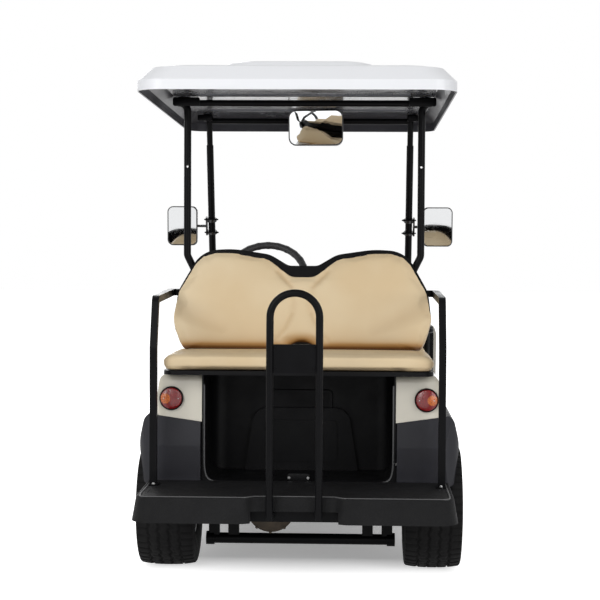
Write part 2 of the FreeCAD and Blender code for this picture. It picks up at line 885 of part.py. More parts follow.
def make_grab_bars():
    offset = S.bar_offset
    foot = step_front - S.bar_foot
    half = S.bar_side / 2
    along = shell_face(bar_top + half) + S.seat_gap + half
    bar = bent_square("grab_bar", [
        (offset, foot, S.step_height), (offset, foot, bar_knee),
        (offset, foot + S.bar_lean, bar_top - S.bar_fall),
        (offset, along, bar_top), (S.rear_back_half - 60, along, bar_top),
    ], 22, S.bar_side)
    flange = box("bar_flange", (offset - 20, foot - 30, S.step_height),
                 (offset + 14, foot + 30, S.step_height + 5))
    node("grab_bars", both_sides("grab_bars", fuse("grab_bar_side", bar, flange)))


def make_centre_handle():
    radius = S.handle_radius
    leg = S.handle_half - radius
    along = rear_end + radius
    top = S.handle_top - radius
    hoop = bent_tube("hoop", [
        (-leg, along, S.handle_foot), (-leg, along, top), (leg, along, top),
        (leg, along, S.handle_foot),
    ], leg - 1, radius)
    low = S.handle_top - S.plate_drop
    plate = box("plate", (-leg, along - 2, low), (leg, along + 2, low + S.plate_depth))
    node("centre_handle", fuse("centre_handle", hoop, plate))


def under_liner(along):
    """The height of the roof liner's underside at a place along the cart."""
    return S.roof_edge + S.liner_height - S.seat_gap - (as_size(along) - rear_end) * S.roof_slope


def make_rear_struts():
    offset = S.strut_offset
    along = strut_along
    foot = deck_height + 6
    bar_height = S.roof_edge + 28
    inner = offset - S.strut_inset
    knee = rear_cushion_top + S.strut_knee
    strut = bent_tube("strut", [
        (inner, along, foot), (inner, along, knee), (offset, along, knee + S.strut_inset * 2),
        (offset, along, bar_height), (offset + S.strut_stub, along, bar_height),
    ], S.strut_stub * 0.9, S.strut_radius)
    flange = box("strut_flange", (inner - 30, along - 30, deck_height), (inner + 30, along + 30, foot))
    ear = box("strut_ear", (offset - 8, along - 30, bar_height),
              (offset + 32, along + 30, under_liner(along + 30)))
    side = fuse("rear_strut", strut, flange, ear)
    hole = rod("strut_hole", S.strut_hole, (offset, along - 40, S.strut_hole_height), "Y", 80)
    side = cut("rear_strut_drilled", side, hole)
    bar = rod("rear_crossbar", S.crossbar_radius, (-offset, along, bar_height), "X", offset * 2)
    node("rear_struts", fuse("rear_struts", side, mirrored("rear_strut_left", side), bar))


def make_front_struts():
    offset = S.front_strut_offset
    foot = S.dash_top + 6
    bar_height = S.roof_edge + 10
    knee = (offset, front_strut_knee, S.front_strut_knee_height)
    top = (offset, front_strut_top, bar_height)
    share = 0.76
    sleeve_end = tuple(as_size(low) + (as_size(high) - low) * share for low, high in zip(knee, top))
    strut = bent_tube("front_strut", [(offset, front_strut_foot, foot), knee, top], 900,
                      S.front_strut_radius)
    sleeve = bent_tube("strut_sleeve", [(offset, front_strut_foot, foot), knee, sleeve_end], 900,
                       S.front_strut_radius + S.sleeve_wall)
    flange = box("front_flange", (offset - 22, front_strut_foot - 20, S.dash_top),
                 (offset + 22, front_strut_foot + 28, foot + 6))
    ear = box("front_ear", (offset - 14, front_strut_top - 25, bar_height),
              (offset + 24, front_strut_top + 35, under_liner(front_strut_top + 35)))
    bar = rod("front_crossbar", S.crossbar_radius, (-offset, front_strut_top, bar_height), "X",
              offset * 2)
    side = fuse("front_strut_side", strut, sleeve, ear, flange)
    node("front_struts", fuse("front_struts", side, mirrored("front_strut_left", side), bar))


def roof_loft(body, kind, levels):
    """Rounded rectangles that step in from the skirt to the crown: (height, inset, corner)."""
    sketches = []
    for height, inset, corner in levels:
        sketch = new_sketch(body, "top", height)
        draw_outline(sketch, rounded_rectangle(
            (-S.roof_half + inset, inset), (S.roof_half - inset, roof_length - inset), corner))
        sketches.append(sketch)
    loft = body.newObject("PartDesign::%sLoft" % kind, body.Name + "_loft")
    loft.Profile = sketches[0]
    loft.Sections = sketches[1:]
    loft.Ruled = True
    return loft


def on_roof(thing):
    """Placed at the roof's rear edge and pitched with it."""
    pitch = math.degrees(math.atan(S.roof_slope.value))
    thing.Placement = Placement(Vector(), Rotation(Vector(1, 0, 0), -pitch))
    return place(thing, 0, rear_end, S.roof_edge)


def make_roof():
    roof = new_body("roof")
    sheet_, lean, corner = S.roof_sheet, S.roof_lean, S.roof_corner
    roof_loft(roof, "Additive", [
        (as_size(0), as_size(0), corner), (S.roof_skirt, as_size(0), corner),
        (S.roof_shoulder, lean, corner), (S.roof_shoulder - S.roof_channel, lean + 12, corner),
        (S.roof_deck, lean + 37, corner), (S.roof_plateau, lean + 208, corner),
        (S.roof_rise - 6, lean + 240, corner), (S.roof_rise, lean + 258, corner),
    ])
    roof_loft(roof, "Subtractive", [
        (as_size(0), sheet_, corner - sheet_), (S.roof_skirt, sheet_, corner - sheet_),
        (S.roof_shoulder - S.roof_channel - sheet_, lean + sheet_, corner - sheet_),
        (S.roof_deck - sheet_ * 1.2, lean + 45, corner - sheet_),
        (S.roof_plateau - sheet_, lean + 216, corner - sheet_),
        (S.roof_rise - 6 - sheet_, lean + 246, corner - sheet_),
        (S.roof_rise - sheet_, lean + 264, corner - sheet_),
    ])
    node("roof", on_roof(roof))
    slant = lean / (S.roof_shoulder - S.roof_channel - sheet_ - S.roof_skirt)
    inset = (S.liner_height + S.liner_sheet - S.roof_skirt) * slant + sheet_ + S.seat_gap
    liner = padded_body("roof_liner", "top", S.liner_height, S.liner_sheet, rounded_rectangle(
        (-S.roof_half + inset, inset), (S.roof_half - inset, roof_length - inset),
        corner - sheet_))
    rib = pad(liner, "top", S.liner_height - S.liner_rib, S.liner_rib + 1, rounded_rectangle(
        (-S.roof_half + inset + 90, as_size(150)),
        (S.roof_half - inset - 90, 150 + S.liner_rib_width), 15))
    rows = liner.newObject("PartDesign::LinearPattern", "liner_ribs")
    rows.Originals = [rib]
    rows.Direction = (rib.Profile[0], ["V_Axis"])
    rows.Occurrences = 5
    bind(rows, "Length", S.liner_rib_pitch * 4)
    liner.Tip = rows
    node("roof_liner", on_roof(liner))


def cushion(name, half, start, end, bottom, top, corner):
    return padded_body(name, "top", bottom, as_size(top) - bottom,
                       rounded_rectangle((-half, start), (half, end), corner))


def make_rear_seat():
    rear, front = rear_cushion_rear, rear_cushion_front
    bottom = rear_cushion_bottom
    node("rear_seat_cushion", cushion("rear_seat_cushion", S.seat_half, rear, front,
                                      bottom, rear_cushion_top, S.seat_corner))
    height = S.rear_back_height
    back = lean_back(padded_body("rear_back_pad", "rear", 0, S.back_thickness,
                                 back_outline(S.rear_back_half, height)))
    under = box("back_trim", (-S.rear_back_half - 12, rear, bottom - 60),
                (S.rear_back_half + 12, front + 100, rear_cushion_top + S.seat_gap))
    node("rear_seat_back", cut("rear_seat_back", back, under))
    rim_size = S.shell_rim
    shell = padded_body("rear_back_shell", "rear", S.back_thickness + S.seat_gap, S.shell_sheet,
                        back_outline(S.rear_back_half + rim_size / 2, height + S.shell_rise, 45,
                                     S.shell_notch))
    rim = padded_body("shell_rim", "rear", S.back_thickness + S.seat_gap + S.shell_sheet - 1, 11,
                      rounded_rectangle((60 - S.rear_back_half, as_size(85)),
                                        (S.rear_back_half - 60, height - 130), 60))
    shell = lean_back(shell)
    rim = lean_back(rim)
    pan = cushion("rear_seat_pan", S.seat_half - 1, rear + 3, front - 5, pan_bottom, bottom,
                  S.seat_corner)
    wide = S.post_width
    runner = box("pan_runner", (S.well_half + 30, rear + 110, deck_height),
                 (S.well_half + 110, front - 10, pan_bottom))
    inner, outer = S.post_offset, S.post_offset + wide
    bracket = box("back_bracket", (inner, front - wide, deck_height),
                  (outer, front + wide, pan_bottom + 4))
    post_top = rear_cushion_top + 59
    post = box("back_post", (inner, front + 5, deck_height), (outer, front + wide, post_top))
    middle = box("middle_post", (-wide * 1.5, front + 5, deck_height),
                 (wide * 1.5, front + wide / 2, post_top))
    node("rear_seat_frame", fuse("rear_seat_frame", shell, rim, pan, runner, middle,
                                 mirrored("pan_runner_left", runner), bracket, post,
                                 mirrored("back_bracket_left", bracket),
                                 mirrored("back_post_left", post)))


def back_outline(half, top, low=0, notch=None):
    """Two lobes with a notch between them, and an arch at the bottom where low is 0."""
    half, top = as_size(half), as_size(top)
    right = [(half - 50, low, 75), (half + 2, 130, 90), (half - 12, top * 0.6, 120),
             (half - 97, top - 8, 110), (as_size(270), top, 350), (as_size(128), top - 22, 100),
             (as_size(40 if notch is None else 56), top - (notch or S.notch_drop), 45)]
    if not low:
        right = [(as_size(46), low)] + right
    left = [(-as_size(corner[0]),) + tuple(corner[1:]) for corner in reversed(right)]
    outline = right + left
    if not low:
        outline += [(-38, 36, 14), (38, 36, 14)]
    return outline


def lean_back(thing):
    """Leaned over the rear deck from its foot on the rear cushion."""
    thing.Placement = Placement(Vector(), Rotation(Vector(1, 0, 0), -S.rear_back_lean.value))
    return place(thing, 0, rear_back_start, rear_back_foot)


def make_front_seat():
    low = S.pod_height
    end = lid_rear + S.lid_depth
    node("front_seat_cushion", cushion("front_seat_cushion", S.seat_half, lid_rear, end,
                                       front_pan_top, front_pan_top + S.front_cushion_height,
                                       S.seat_corner))
    plate = cushion("seat_plate", S.seat_half - 10, lid_rear, end - 10, low + S.seat_gap,
                    front_pan_top, S.seat_corner - 5)
    axis = lid_rear - 6
    barrel = rod("hinge_barrel", S.hinge_radius, (as_size(250), axis, low + 6), "X", S.hinge_width)
    leaf = box("hinge_leaf", (as_size(250), axis, low + 4),
               (250 + S.hinge_width, lid_rear + 2, low + 8))
    bore = rod("hinge_bore", S.hinge_pin + S.running_clearance, (as_size(249), axis, low + 6), "X",
               S.hinge_width + 2)
    hinge = cut("seat_hinge", fuse("hinge_blank", barrel, leaf), bore)
    node("front_seat_pan", fuse("front_seat_pan", plate, hinge, mirrored("seat_hinge_left", hinge)))
    tilt = Rotation(Vector(1, 0, 0), S.front_back_lean.value)
    rise = S.front_back_height
    back = padded_body("front_seat_back", "rear", -S.back_thickness, S.back_thickness,
                       back_outline(S.front_back_half, rise, 1))
    back.Placement = Placement(Vector(), tilt)
    node("front_seat_back", place(back, 0, front_back_start, front_back_foot))
    shell = padded_body("front_back_shell", "rear", -S.back_thickness - S.seat_gap - S.shell_sheet,
                        S.shell_sheet,
                        rounded_rectangle((30 - S.front_back_half, as_size(-15)),
                                          (S.front_back_half - 30, rise - 110), 60))
    shell.Placement = Placement(Vector(), tilt)
    place(shell, 0, front_back_start, front_back_foot)
    inner, outer = S.post_offset, S.post_offset + S.post_width
    post = box("front_post", (inner, front_back_start - 89, deck_height),
               (outer, front_back_start - 69, front_back_foot + 30))
    hip = S.hip_offset
    along = front_back_start - 77
    loop = bent_tube("hip_loop", [
        (hip - 77, along, front_back_foot + 20), (hip, along, front_back_foot + 20),
        (hip, lid_rear + 300, front_back_foot), (hip, lid_rear + 300, low),
    ], 25, S.hip_radius)
    node("front_seat_frame", fuse("front_seat_frame", shell, post, mirrored("front_post_left", post),
                                  loop, mirrored("hip_loop_left", loop)))


def cowl_blank(name, wall):
    """The front body's outer form, or its inner one a wall smaller."""
    inner = as_size(wall)
    gone = 1 if wall else 0
    top = cowl_top - inner
    side = padded_body(name + "_side", "side", -S.cowl_half - 5, S.cowl_half * 2 + 10, [
        (front_axle - 336 - gone * 14, S.cowl_bottom - gone),
        (front_axle - 425 - gone * 15, top - 14),
        (front_axle - 360, top, 60 - inner),
        (front_axle + 80, top - S.hood_fall, 300 - inner),
        (cowl_front - 50 - inner, top - S.nose_fall, 120 - inner),
        (cowl_front - inner, S.bumper_top - gone),
        (front_axle + 275 - inner, S.bumper_top - gone),
        (front_axle + 275 - inner, S.cowl_bottom - gone),
    ])
    half, nose = S.cowl_half - inner, S.cowl_nose_half - inner
    plan = padded_body(name + "_plan", "top", S.cowl_bottom - 5, cowl_top - S.cowl_bottom + 10, [
        (-half, front_axle - 460), (half, front_axle - 460), (half, front_axle + 180, 260 - inner),
        (nose, cowl_front - inner, 130 - inner), (-nose, cowl_front - inner, 130 - inner),
        (-half, front_axle + 180, 260 - inner),
    ])
    crown = padded_body(name + "_crown", "rear", -200, 1400, [
        (-half, as_size(-800)), (half, as_size(-800)), (half, 0, S.cowl_edge - inner),
        (-half, 0, S.cowl_edge - inner),
    ])
    slope = math.degrees(math.atan2(S.hood_fall.value, 440))
    crown.Placement = Placement(Vector(), Rotation(Vector(1, 0, 0), -slope))
    place(crown, 0, front_axle - 360, top + 1)
    return common(name, side, plan, crown)


def make_cowl():
    outer = cowl_blank("cowl_outer", 0)
    inner = cowl_blank("cowl_inner", S.cowl_wall)
    arch = rod("front_arch", S.front_arch_radius, (-S.cowl_half - 5, front_axle, hub_height), "X",
               S.cowl_half * 2 + 10)
    pieces = [inner, arch]
    for side, sign in (("right", 1), ("left", -1)):
        near, far = (S.head_inner, S.head_outer) if sign > 0 else (-S.head_outer, -S.head_inner)
        pieces.append(padded_body("head_gap_" + side, "rear", cowl_front - 120, 130,
                                  rounded_rectangle((near - S.seat_gap, S.head_bottom - S.seat_gap),
                                                    (far + S.seat_gap, S.head_top + S.seat_gap), 25)))
    node("front_cowl", cut("front_cowl", outer, *pieces))


def make_dashboard():
    """A moulded wall that curls from the cowl's rear edge down to the footwell's ceiling."""
    skin = S.dash_sheet
    rear = front_axle - 548
    front = front_axle - 428
    low, high = shelf_height, S.dash_top
    lower_knee = low + S.dash_depth * 0.3
    upper_knee = high - S.dash_depth * 0.3
    wall_face = toe_board(low) - 2
    dash = padded_body("dash_wall", "side", -S.floor_half, S.floor_half * 2, [
        (front, high), (rear + 33, high, 25), (rear, upper_knee, 40), (rear + 13, lower_knee, 30),
        (rear + 58, low, 30), (wall_face, low), (wall_face, low + skin),
        (rear + 63, low + skin, 25), (rear + 22, lower_knee + 2, 25), (rear + 9, upper_knee, 30),
        (rear + 38, high - skin, 18), (front, high - skin),
    ])
    pieces = [dash]
    gaps = [column_clearance("dash_column_gap")]
    for number, across in enumerate((20, 130)):
        centre = (across, rear + 78)
        radius = S.cup_radius
        cup = rod("cup_%d" % number, radius, (as_size(across), rear + 78, high - S.cup_depth), "Z",
                  S.cup_depth)
        pieces.append(cup)
        gaps.append(rod("cup_gap_%d" % number, radius - S.cup_wall,
                        (as_size(across), rear + 78, high - S.cup_depth + S.cup_wall), "Z",
                        S.cup_depth + 10))
    tray = padded_body("dash_tray", "rear", rear - 2, 60, rounded_rectangle(
        (as_size(215), low + 70), (as_size(430), high - 45), 18))
    hollow = padded_body("tray_gap", "rear", rear - 12, 67, rounded_rectangle(
        (215 + S.cup_wall, low + 70 + S.cup_wall), (430 - S.cup_wall, high - 45 - S.cup_wall), 15))
    pieces.append(tray)
    gaps.append(hollow)
    node("dashboard", cut("dashboard", fuse("dash_blank", *pieces), *gaps))


def make_bumper():
    half, nose, wall = S.bumper_half, S.bumper_nose_half, S.cowl_wall
    low, high = S.bumper_bottom, S.bumper_top - S.seat_gap
    rear = front_axle + S.front_arch_radius
    corner = 90
    bumper = padded_body("front_bumper", "top", low, high - low, [
        (-half, rear), (half, rear), (half, rear + 45, 70), (nose, front_end, corner),
        (-nose, front_end, corner), (-half, rear + 45, 70),
    ])
    pocket(bumper, "top", low - 1, high - low - wall + 1, [
        (-half + wall, rear - 20), (half - wall, rear - 20), (half - wall, rear + 45, 60),
        (nose - wall, front_end - wall, corner - wall), (-nose + wall, front_end - wall, corner - wall),
        (-half + wall, rear + 45, 60),
    ])
    pocket(bumper, "top", high - wall - 5, wall + 10, [
        (-S.bumper_nose_half + 40, rear - 20), (S.bumper_nose_half - 40, rear - 20),
        (S.bumper_nose_half - 40, cowl_front - 30), (-S.bumper_nose_half + 40, cowl_front - 30),
    ])
    node("front_bumper", bumper)


def wheel_body(name, outline, sign, along):
    body = turned(name, outline)
    place(body, wheel_x * sign, along, hub_height)
    return node(name, body)


def make_wheels():
    half = S.tyre_width / 2
    tread = S.tyre_diameter / 2
    bead_half = S.rim_width / 2
    lip = bead_half + S.seat_gap
    flange = bead + S.rim_lip
    tyre = [
        (-bead_half, bead), (bead_half, bead), (bead_half, flange + 1), (half, bead + 60, 40),
        (half - 4, tread - 8, 20), (half - 50, tread, 60), (-half + 50, tread, 60),
        (-half + 4, tread - 8, 20), (-half, bead + 60, 40), (-bead_half, flange + 1),
    ]
    seat = bead - S.seat_gap
    inner = seat - S.rim_wall
    dish = S.disc_dish
    wall = S.disc_wall / 2
    hub = S.hub_radius
    for side, sign in (("left", -1), ("right", 1)):
        disc = 12 * sign
        out = dish * sign
        rim = [
            (-lip - 4, inner), (-lip - 4, flange), (-lip, flange), (-lip, seat),
            (lip, seat), (lip, flange), (lip + 4, flange), (lip + 4, inner),
            (disc + wall, inner), (disc + wall, inner - 12, 4),
            (disc + out + wall, hub + 14, 4), (disc + out + wall, hub),
            (disc + out * 0.4 + wall, hub - 10, 4), (disc + out * 0.4 + wall, spindle_bore),
            (disc + out * 0.4 - wall, spindle_bore), (disc + out * 0.4 - wall, hub - 9),
            (disc + out - wall, hub + 1), (disc + out - wall, hub + 10, 4),
            (disc - wall, inner - 16, 4), (disc - wall, inner),
        ]
        for end, along in (("front", front_axle), ("rear", rear_axle)):
            wheel_body("tyre_%s_%s" % (end, side), tyre, sign, along)
            wheel = wheel_body("rim_%s_%s" % (end, side), rim, sign, along)
            vent = pocket(wheel, "side", -40, 100, circles=[((inner + hub) / 2, 0, S.vent_radius)])
            vents = wheel.newObject("PartDesign::PolarPattern", wheel.Name + "_vents")
            vents.Originals = [vent]
            vents.Axis = (vent.Profile[0], ["N_Axis"])
            vents.Angle = 360
            bind(vents, "Occurrences", S.vent_count)
            wheel.Tip = vents


def make_front_axle():
    pin = S.kingpin_offset
    eye = S.boss_length / 2
    low = hub_height - eye - S.seat_gap
    high = hub_height + eye + S.seat_gap
    deep = S.lug_width / 2
    beam = rod("beam", S.beam_radius, (-pin + 40, front_axle, S.beam_height), "X", (pin - 40) * 2)
    pieces = [beam]
    for side, sign in (("right", 1), ("left", -1)):
        near = (pin + 12) * sign
        far = (pin - 50) * sign
        left, right = (far, near) if sign > 0 else (near, far)
        for end, bottom in (("low", low - S.lug_height), ("high", high)):
            lug = box("lug_%s_%s" % (side, end), (left, front_axle - deep, bottom),
                      (right, front_axle + deep, bottom + S.lug_height))
            pieces.append(lug)
        web_far = (pin - 30) * sign
        left, right = (far, web_far) if sign > 0 else (web_far, far)
        pieces.append(box("web_" + side, (left, front_axle - deep, low - S.lug_height),
                          (right, front_axle + deep, high + S.lug_height)))
        half_leaf = S.leaf_width / 2
        middle = (S.rail_inside + S.rail_width / 2) * sign
        pieces.append(leaf_spring("front_leaf_" + side, middle - half_leaf, front_axle,
                                  S.beam_height + 18, S.rail_bottom, 300))
    axle = fuse("front_axle_blank", *pieces)
    holes = [rod("pin_hole_" + side, S.kingpin_radius + S.running_clearance,
                 (pin * sign, front_axle, low - 40), "Z", 250)
             for side, sign in (("right", 1), ("left", -1))]
    node("front_axle", cut("front_axle", axle, *holes))


def leaf_spring(name, left, along, seat, eye, reach):
    """A bowed leaf pack 14 mm thick on the axle, with its ends under the rail at eye."""
    seat, eye, reach = as_size(seat), as_size(eye), as_size(reach)
    return padded_body(name, "side", left, S.leaf_width, [
        (along - reach, eye), (along - reach + 20, eye),
        (along - reach * 0.68, seat + 22, 100), (along, seat + 14, 400),
        (along + reach * 0.68, seat + 22, 100), (along + reach - 20, eye),
        (along + reach, eye), (along + reach * 0.72, seat + 8, 100),
        (along, seat, 400), (along - reach * 0.72, seat + 8, 100),
    ])


def make_knuckles():
    eye = S.boss_length / 2
    pin_reach = eye + S.lug_height + 4
    along = front_axle - S.arm_reach
    for side, sign in (("left", -1), ("right", 1)):
        pin = S.kingpin_offset * sign
        boss = rod("boss_" + side, S.kingpin_boss, (pin, front_axle, hub_height - eye), "Z",
                   S.boss_length)
        shaft = rod("pin_" + side, S.kingpin_radius, (pin, front_axle, hub_height - pin_reach), "Z",
                    pin_reach * 2)
        end = wheel_x + 45
        start = pin if sign > 0 else -end
        spindle = rod("spindle_" + side, S.spindle_radius, (start, front_axle, hub_height), "X",
                      end - S.kingpin_offset)
        low = hub_height - S.arm_drop
        arm = box("arm_" + side, (pin - 8, along, low), (pin + 8, front_axle, low + S.arm_height))
        eye_boss = rod("arm_eye_" + side, S.eye_radius, (pin, along, low), "Z", S.arm_height)
        stud = rod("arm_stud_" + side, S.stud_radius, (pin, along, low - 24), "Z", 26)
        node("knuckle_" + side, fuse("knuckle_" + side, boss, shaft, spindle, arm, eye_boss, stud))


def make_steering_links():
    reach = S.kingpin_offset
    along = front_axle - S.arm_reach
    top = hub_height - S.arm_drop - 2
    eye = S.eye_radius
    tube = rod("link", S.rod_radius, (-reach, along, top - eye), "X", reach * 2)
    places = (-reach, reach, -S.pitman_offset)
    eyes = [rod("link_eye_%d" % number, eye, (across, along, top - eye * 2), "Z", eye * 2)
            for number, across in enumerate(places)]
    holes = [rod("link_hole_%d" % number, S.stud_radius + S.running_clearance,
                 (across, along, top - 30), "Z", 40) for number, across in enumerate(places)]
    node("tie_rod", cut("tie_rod", fuse("tie_rod_blank", tube, *eyes), *holes))
    across, low, thick = -S.pitman_offset, S.pitman_height, S.pitman_thickness
    arm = box("pitman_bar", (across - 9, along, low), (across + 9, front_axle, low + thick))
    hub = rod("pitman_hub", 14, (across, front_axle, low), "Z", thick)
    shaft = rod("pitman_shaft", S.shaft_radius, (across, front_axle, low), "Z", 60)
    eye_end = rod("pitman_eye", eye, (across, along, low), "Z", thick)
    stud = rod("pitman_stud", S.stud_radius, (across, along, top - eye * 2), "Z",
               low + thick - (top - eye * 2))
    node("pitman_arm", fuse("pitman_arm", arm, hub, shaft, eye_end, stud))


def steering_axis():
    """Unit vector from the wheel down the column."""
    tilt = math.radians(90 - S.wheel_tilt.value)
    return Vector(0, math.cos(tilt), -math.sin(tilt))


def column_line():
    """The wheel's centre, the way down the column, its elbow and the top of the gear."""
    centre = Vector(-S.wheel_offset.value, (front_axle - S.wheel_behind_axle).value,
                    S.wheel_height.value)
    down = steering_axis()
    gear_top = Vector(-S.pitman_offset.value, front_axle.value, S.gear_height.value)
    return centre, down, centre + down * S.column_length.value, gear_top


def column_clearance(name):
    """The room that the column leaves in the mouldings around it."""
    centre, down, elbow, gear_top = column_line()
    gap = S.seat_gap.value
    radius = S.column_radius.value
    lower = gear_top - elbow
    parts = [Part.makeCylinder(radius + gap, S.column_length.value - 40, centre + down * 40, down),
             Part.makeCylinder(radius / 2 + gap, lower.Length, elbow, lower)]
    return own_shape(name, Part.makeSphere(radius + 2 + gap, elbow).fuse(parts))


def make_steering():
    centre, down, elbow, gear_top = column_line()
    radius, shaft_radius = S.column_radius.value, S.shaft_radius.value
    bore_radius = shaft_radius + S.running_clearance.value
    jacket_start = centre + down * 40
    jacket = Part.makeCylinder(radius, S.column_length.value - 40, jacket_start, down)
    bore = Part.makeCylinder(bore_radius, 60, jacket_start - down, down)
    lower = Part.makeCylinder(radius / 2, (gear_top - elbow).Length, elbow, gear_top - elbow)
    joint = Part.makeSphere(radius + 2, elbow)
    size = S.gear_size.value
    gear = Part.makeBox(size - 20, size, size, gear_top + Vector(10 - size / 2, -size / 2, -size))
    socket = Part.makeCylinder(bore_radius, 60,
                               Vector(gear_top.x, gear_top.y, S.pitman_height.value))
    column = jacket.cut(bore).fuse([joint, lower, gear]).cut(socket).removeSplitter()
    node("steering_column", own_shape("steering_column", column))
    ring = Part.makeTorus(S.wheel_radius.value, S.wheel_rim.value)
    hub = Part.makeCylinder(38, 30, Vector(0, 0, -22))
    shaft = Part.makeCylinder(shaft_radius, 60, Vector(0, 0, -80))
    spokes = []
    for turn in (0, 90, 180):
        spoke = Part.makeBox(S.wheel_radius.value, 26, 8, Vector(0, -13, -8))
        spoke.rotate(Vector(), Vector(0, 0, 1), turn + 180)
        spokes.append(spoke)
    wheel = ring.fuse([hub, shaft] + spokes).removeSplitter()
    wheel.Placement = Placement(centre, Rotation(Vector(0, 0, -1), down))
    node("steering_wheel", own_shape("steering_wheel", wheel))


def make_pedals():
    top = shelf_height
    near = floor_front - 30
    low = floor_top + 70
    brake = box("brake_pad", (-250, near, low + 30), (-170, near + 12, low + 90))
    brake_arm = box("brake_arm", (-218, near + 10, low + 40), (-202, near + 26, top))
    throttle = box("throttle_pad", (-130, near, low), (-80, near + 12, low + 100))
    throttle_arm = box("throttle_arm", (-113, near + 10, low + 20), (-97, near + 26, top))
    node("pedals", fuse("pedals", brake, brake_arm, throttle, throttle_arm))


def make_rear_axle():
    end = wheel_x + 45
    tube_end = wheel_x - 118
    tube = rod("axle_tube", 32, (-tube_end, rear_axle, hub_height), "X", tube_end * 2)
    stub = rod("axle_stub", S.spindle_radius, (-end, rear_axle, hub_height), "X", end * 2)
    left = -S.diff_offset - S.diff_width / 2
    case = turned("diff_case", [
        (left, 0), (left, 70, 20), (left + 25, 98, 20), (left + S.diff_width - 25, 98, 20),
        (left + S.diff_width, 70, 20), (left + S.diff_width, 0),
    ])
    place(case, 0, rear_axle, hub_height)
    gears = box("gear_case", (left + 8, rear_axle, hub_height - 80),
                (left + S.diff_width, rear_axle + 220, hub_height + 60))
    nose = rod("diff_nose", 30, (left + S.diff_width - 10, rear_axle, hub_height - 38), "X", 30)
    height = hub_height - S.low_bar_drop
    reach = S.low_bar_half
    bar = rod("low_bar", S.low_bar_radius, (-reach, rear_axle, height), "X", reach * 2)
    pieces = [tube, stub, case, gears, nose, bar]
    for number, offset in enumerate((reach - 95, reach - 22)):
        leg = box("low_leg_%d" % number, (offset - 20, rear_axle - 14, height),
                  (offset + 20, rear_axle + 14, hub_height))
        pieces += [leg, mirrored("low_leg_left_%d" % number, leg)]
    for number, across in enumerate((-reach - 8, reach - 22)):
        pieces.append(rod("low_bar_end_%d" % number, S.low_bar_radius + 5,
                          (across, rear_axle, height), "X", 30))
    node("rear_axle", fuse("rear_axle", *pieces))
    motor = rod("drive_motor", 78, (left + S.diff_width + S.seat_gap, rear_axle + 150,
                                    hub_height + 24), "X", 245)
    node("drive_motor", motor)


def make_rear_springs():
    left = rail_outside + 25
    eye = S.rail_bottom + 10
    spring = leaf_spring("rear_spring", left, rear_axle, hub_height + 32, eye, 320)
    hangers = [box("hanger_%d" % number, (rail_outside, rear_axle + offset, eye),
                   (left + S.leaf_width, rear_axle + offset + 20, rail_top))
               for number, offset in enumerate((-320, 300))]
    side = fuse("rear_spring_side", spring, *hangers)
    node("rear_springs", both_sides("rear_springs", side))


def make_battery():
    pack = box("battery_pack", (-S.battery_half, lid_rear + 30, floor_top),
               (S.battery_half, body_front - 25, S.pod_height - 100))
    node("battery_pack", pack)


def make_lamps():
    lamp = padded_body("tail_lamp", "rear", body_rear - S.lamp_depth, S.lamp_depth + 12, circles=[
        (S.lamp_offset, S.body_lower_edge + S.lamp_lift, S.lamp_diameter / 2)])
    round_edges(lamp, 12, lambda edge: edge.BoundBox.YMax < body_rear.value - S.lamp_depth.value + 1)
    ring = padded_body("lamp_ring", "rear", body_rear - S.lamp_depth / 3, 12, circles=[
        (S.lamp_offset, S.body_lower_edge + S.lamp_lift, S.lamp_diameter / 2 + 3)])
    side = cut("tail_lamp_side", fuse("tail_lamp_blank", lamp, ring), doc.getObject("body_outer"))
    node("tail_lamps", both_sides("tail_lamps", side))
    slant = as_size(50) / (cowl_top - S.nose_fall - S.bumper_top)
    low, high = S.head_bottom, S.head_top
    front_low = cowl_front - (low - S.bumper_top) * slant
    front_high = cowl_front - (high - S.bumper_top) * slant
    side = padded_body("headlamp_side", "side", S.head_inner, S.head_outer - S.head_inner, [
        (front_low, low), (front_high, high), (front_high - 28, high), (front_low - 28, low),
    ])
    face = padded_body("headlamp_face", "rear", cowl_front - 100, 110, rounded_rectangle(
        (S.head_inner, low), (S.head_outer, high), 25))
    node("headlamps", both_sides("headlamps", common("headlamp", side, face)))


def strut_point(height):
    """The front strut's centre at a height, below its bend."""
    foot = S.dash_top.value + 6
    share = (height - foot) / (S.front_strut_knee_height.value - foot)
    along = front_strut_foot.value + (front_strut_knee.value - front_strut_foot.value) * share
    return Vector(S.front_strut_offset.value, along, height)


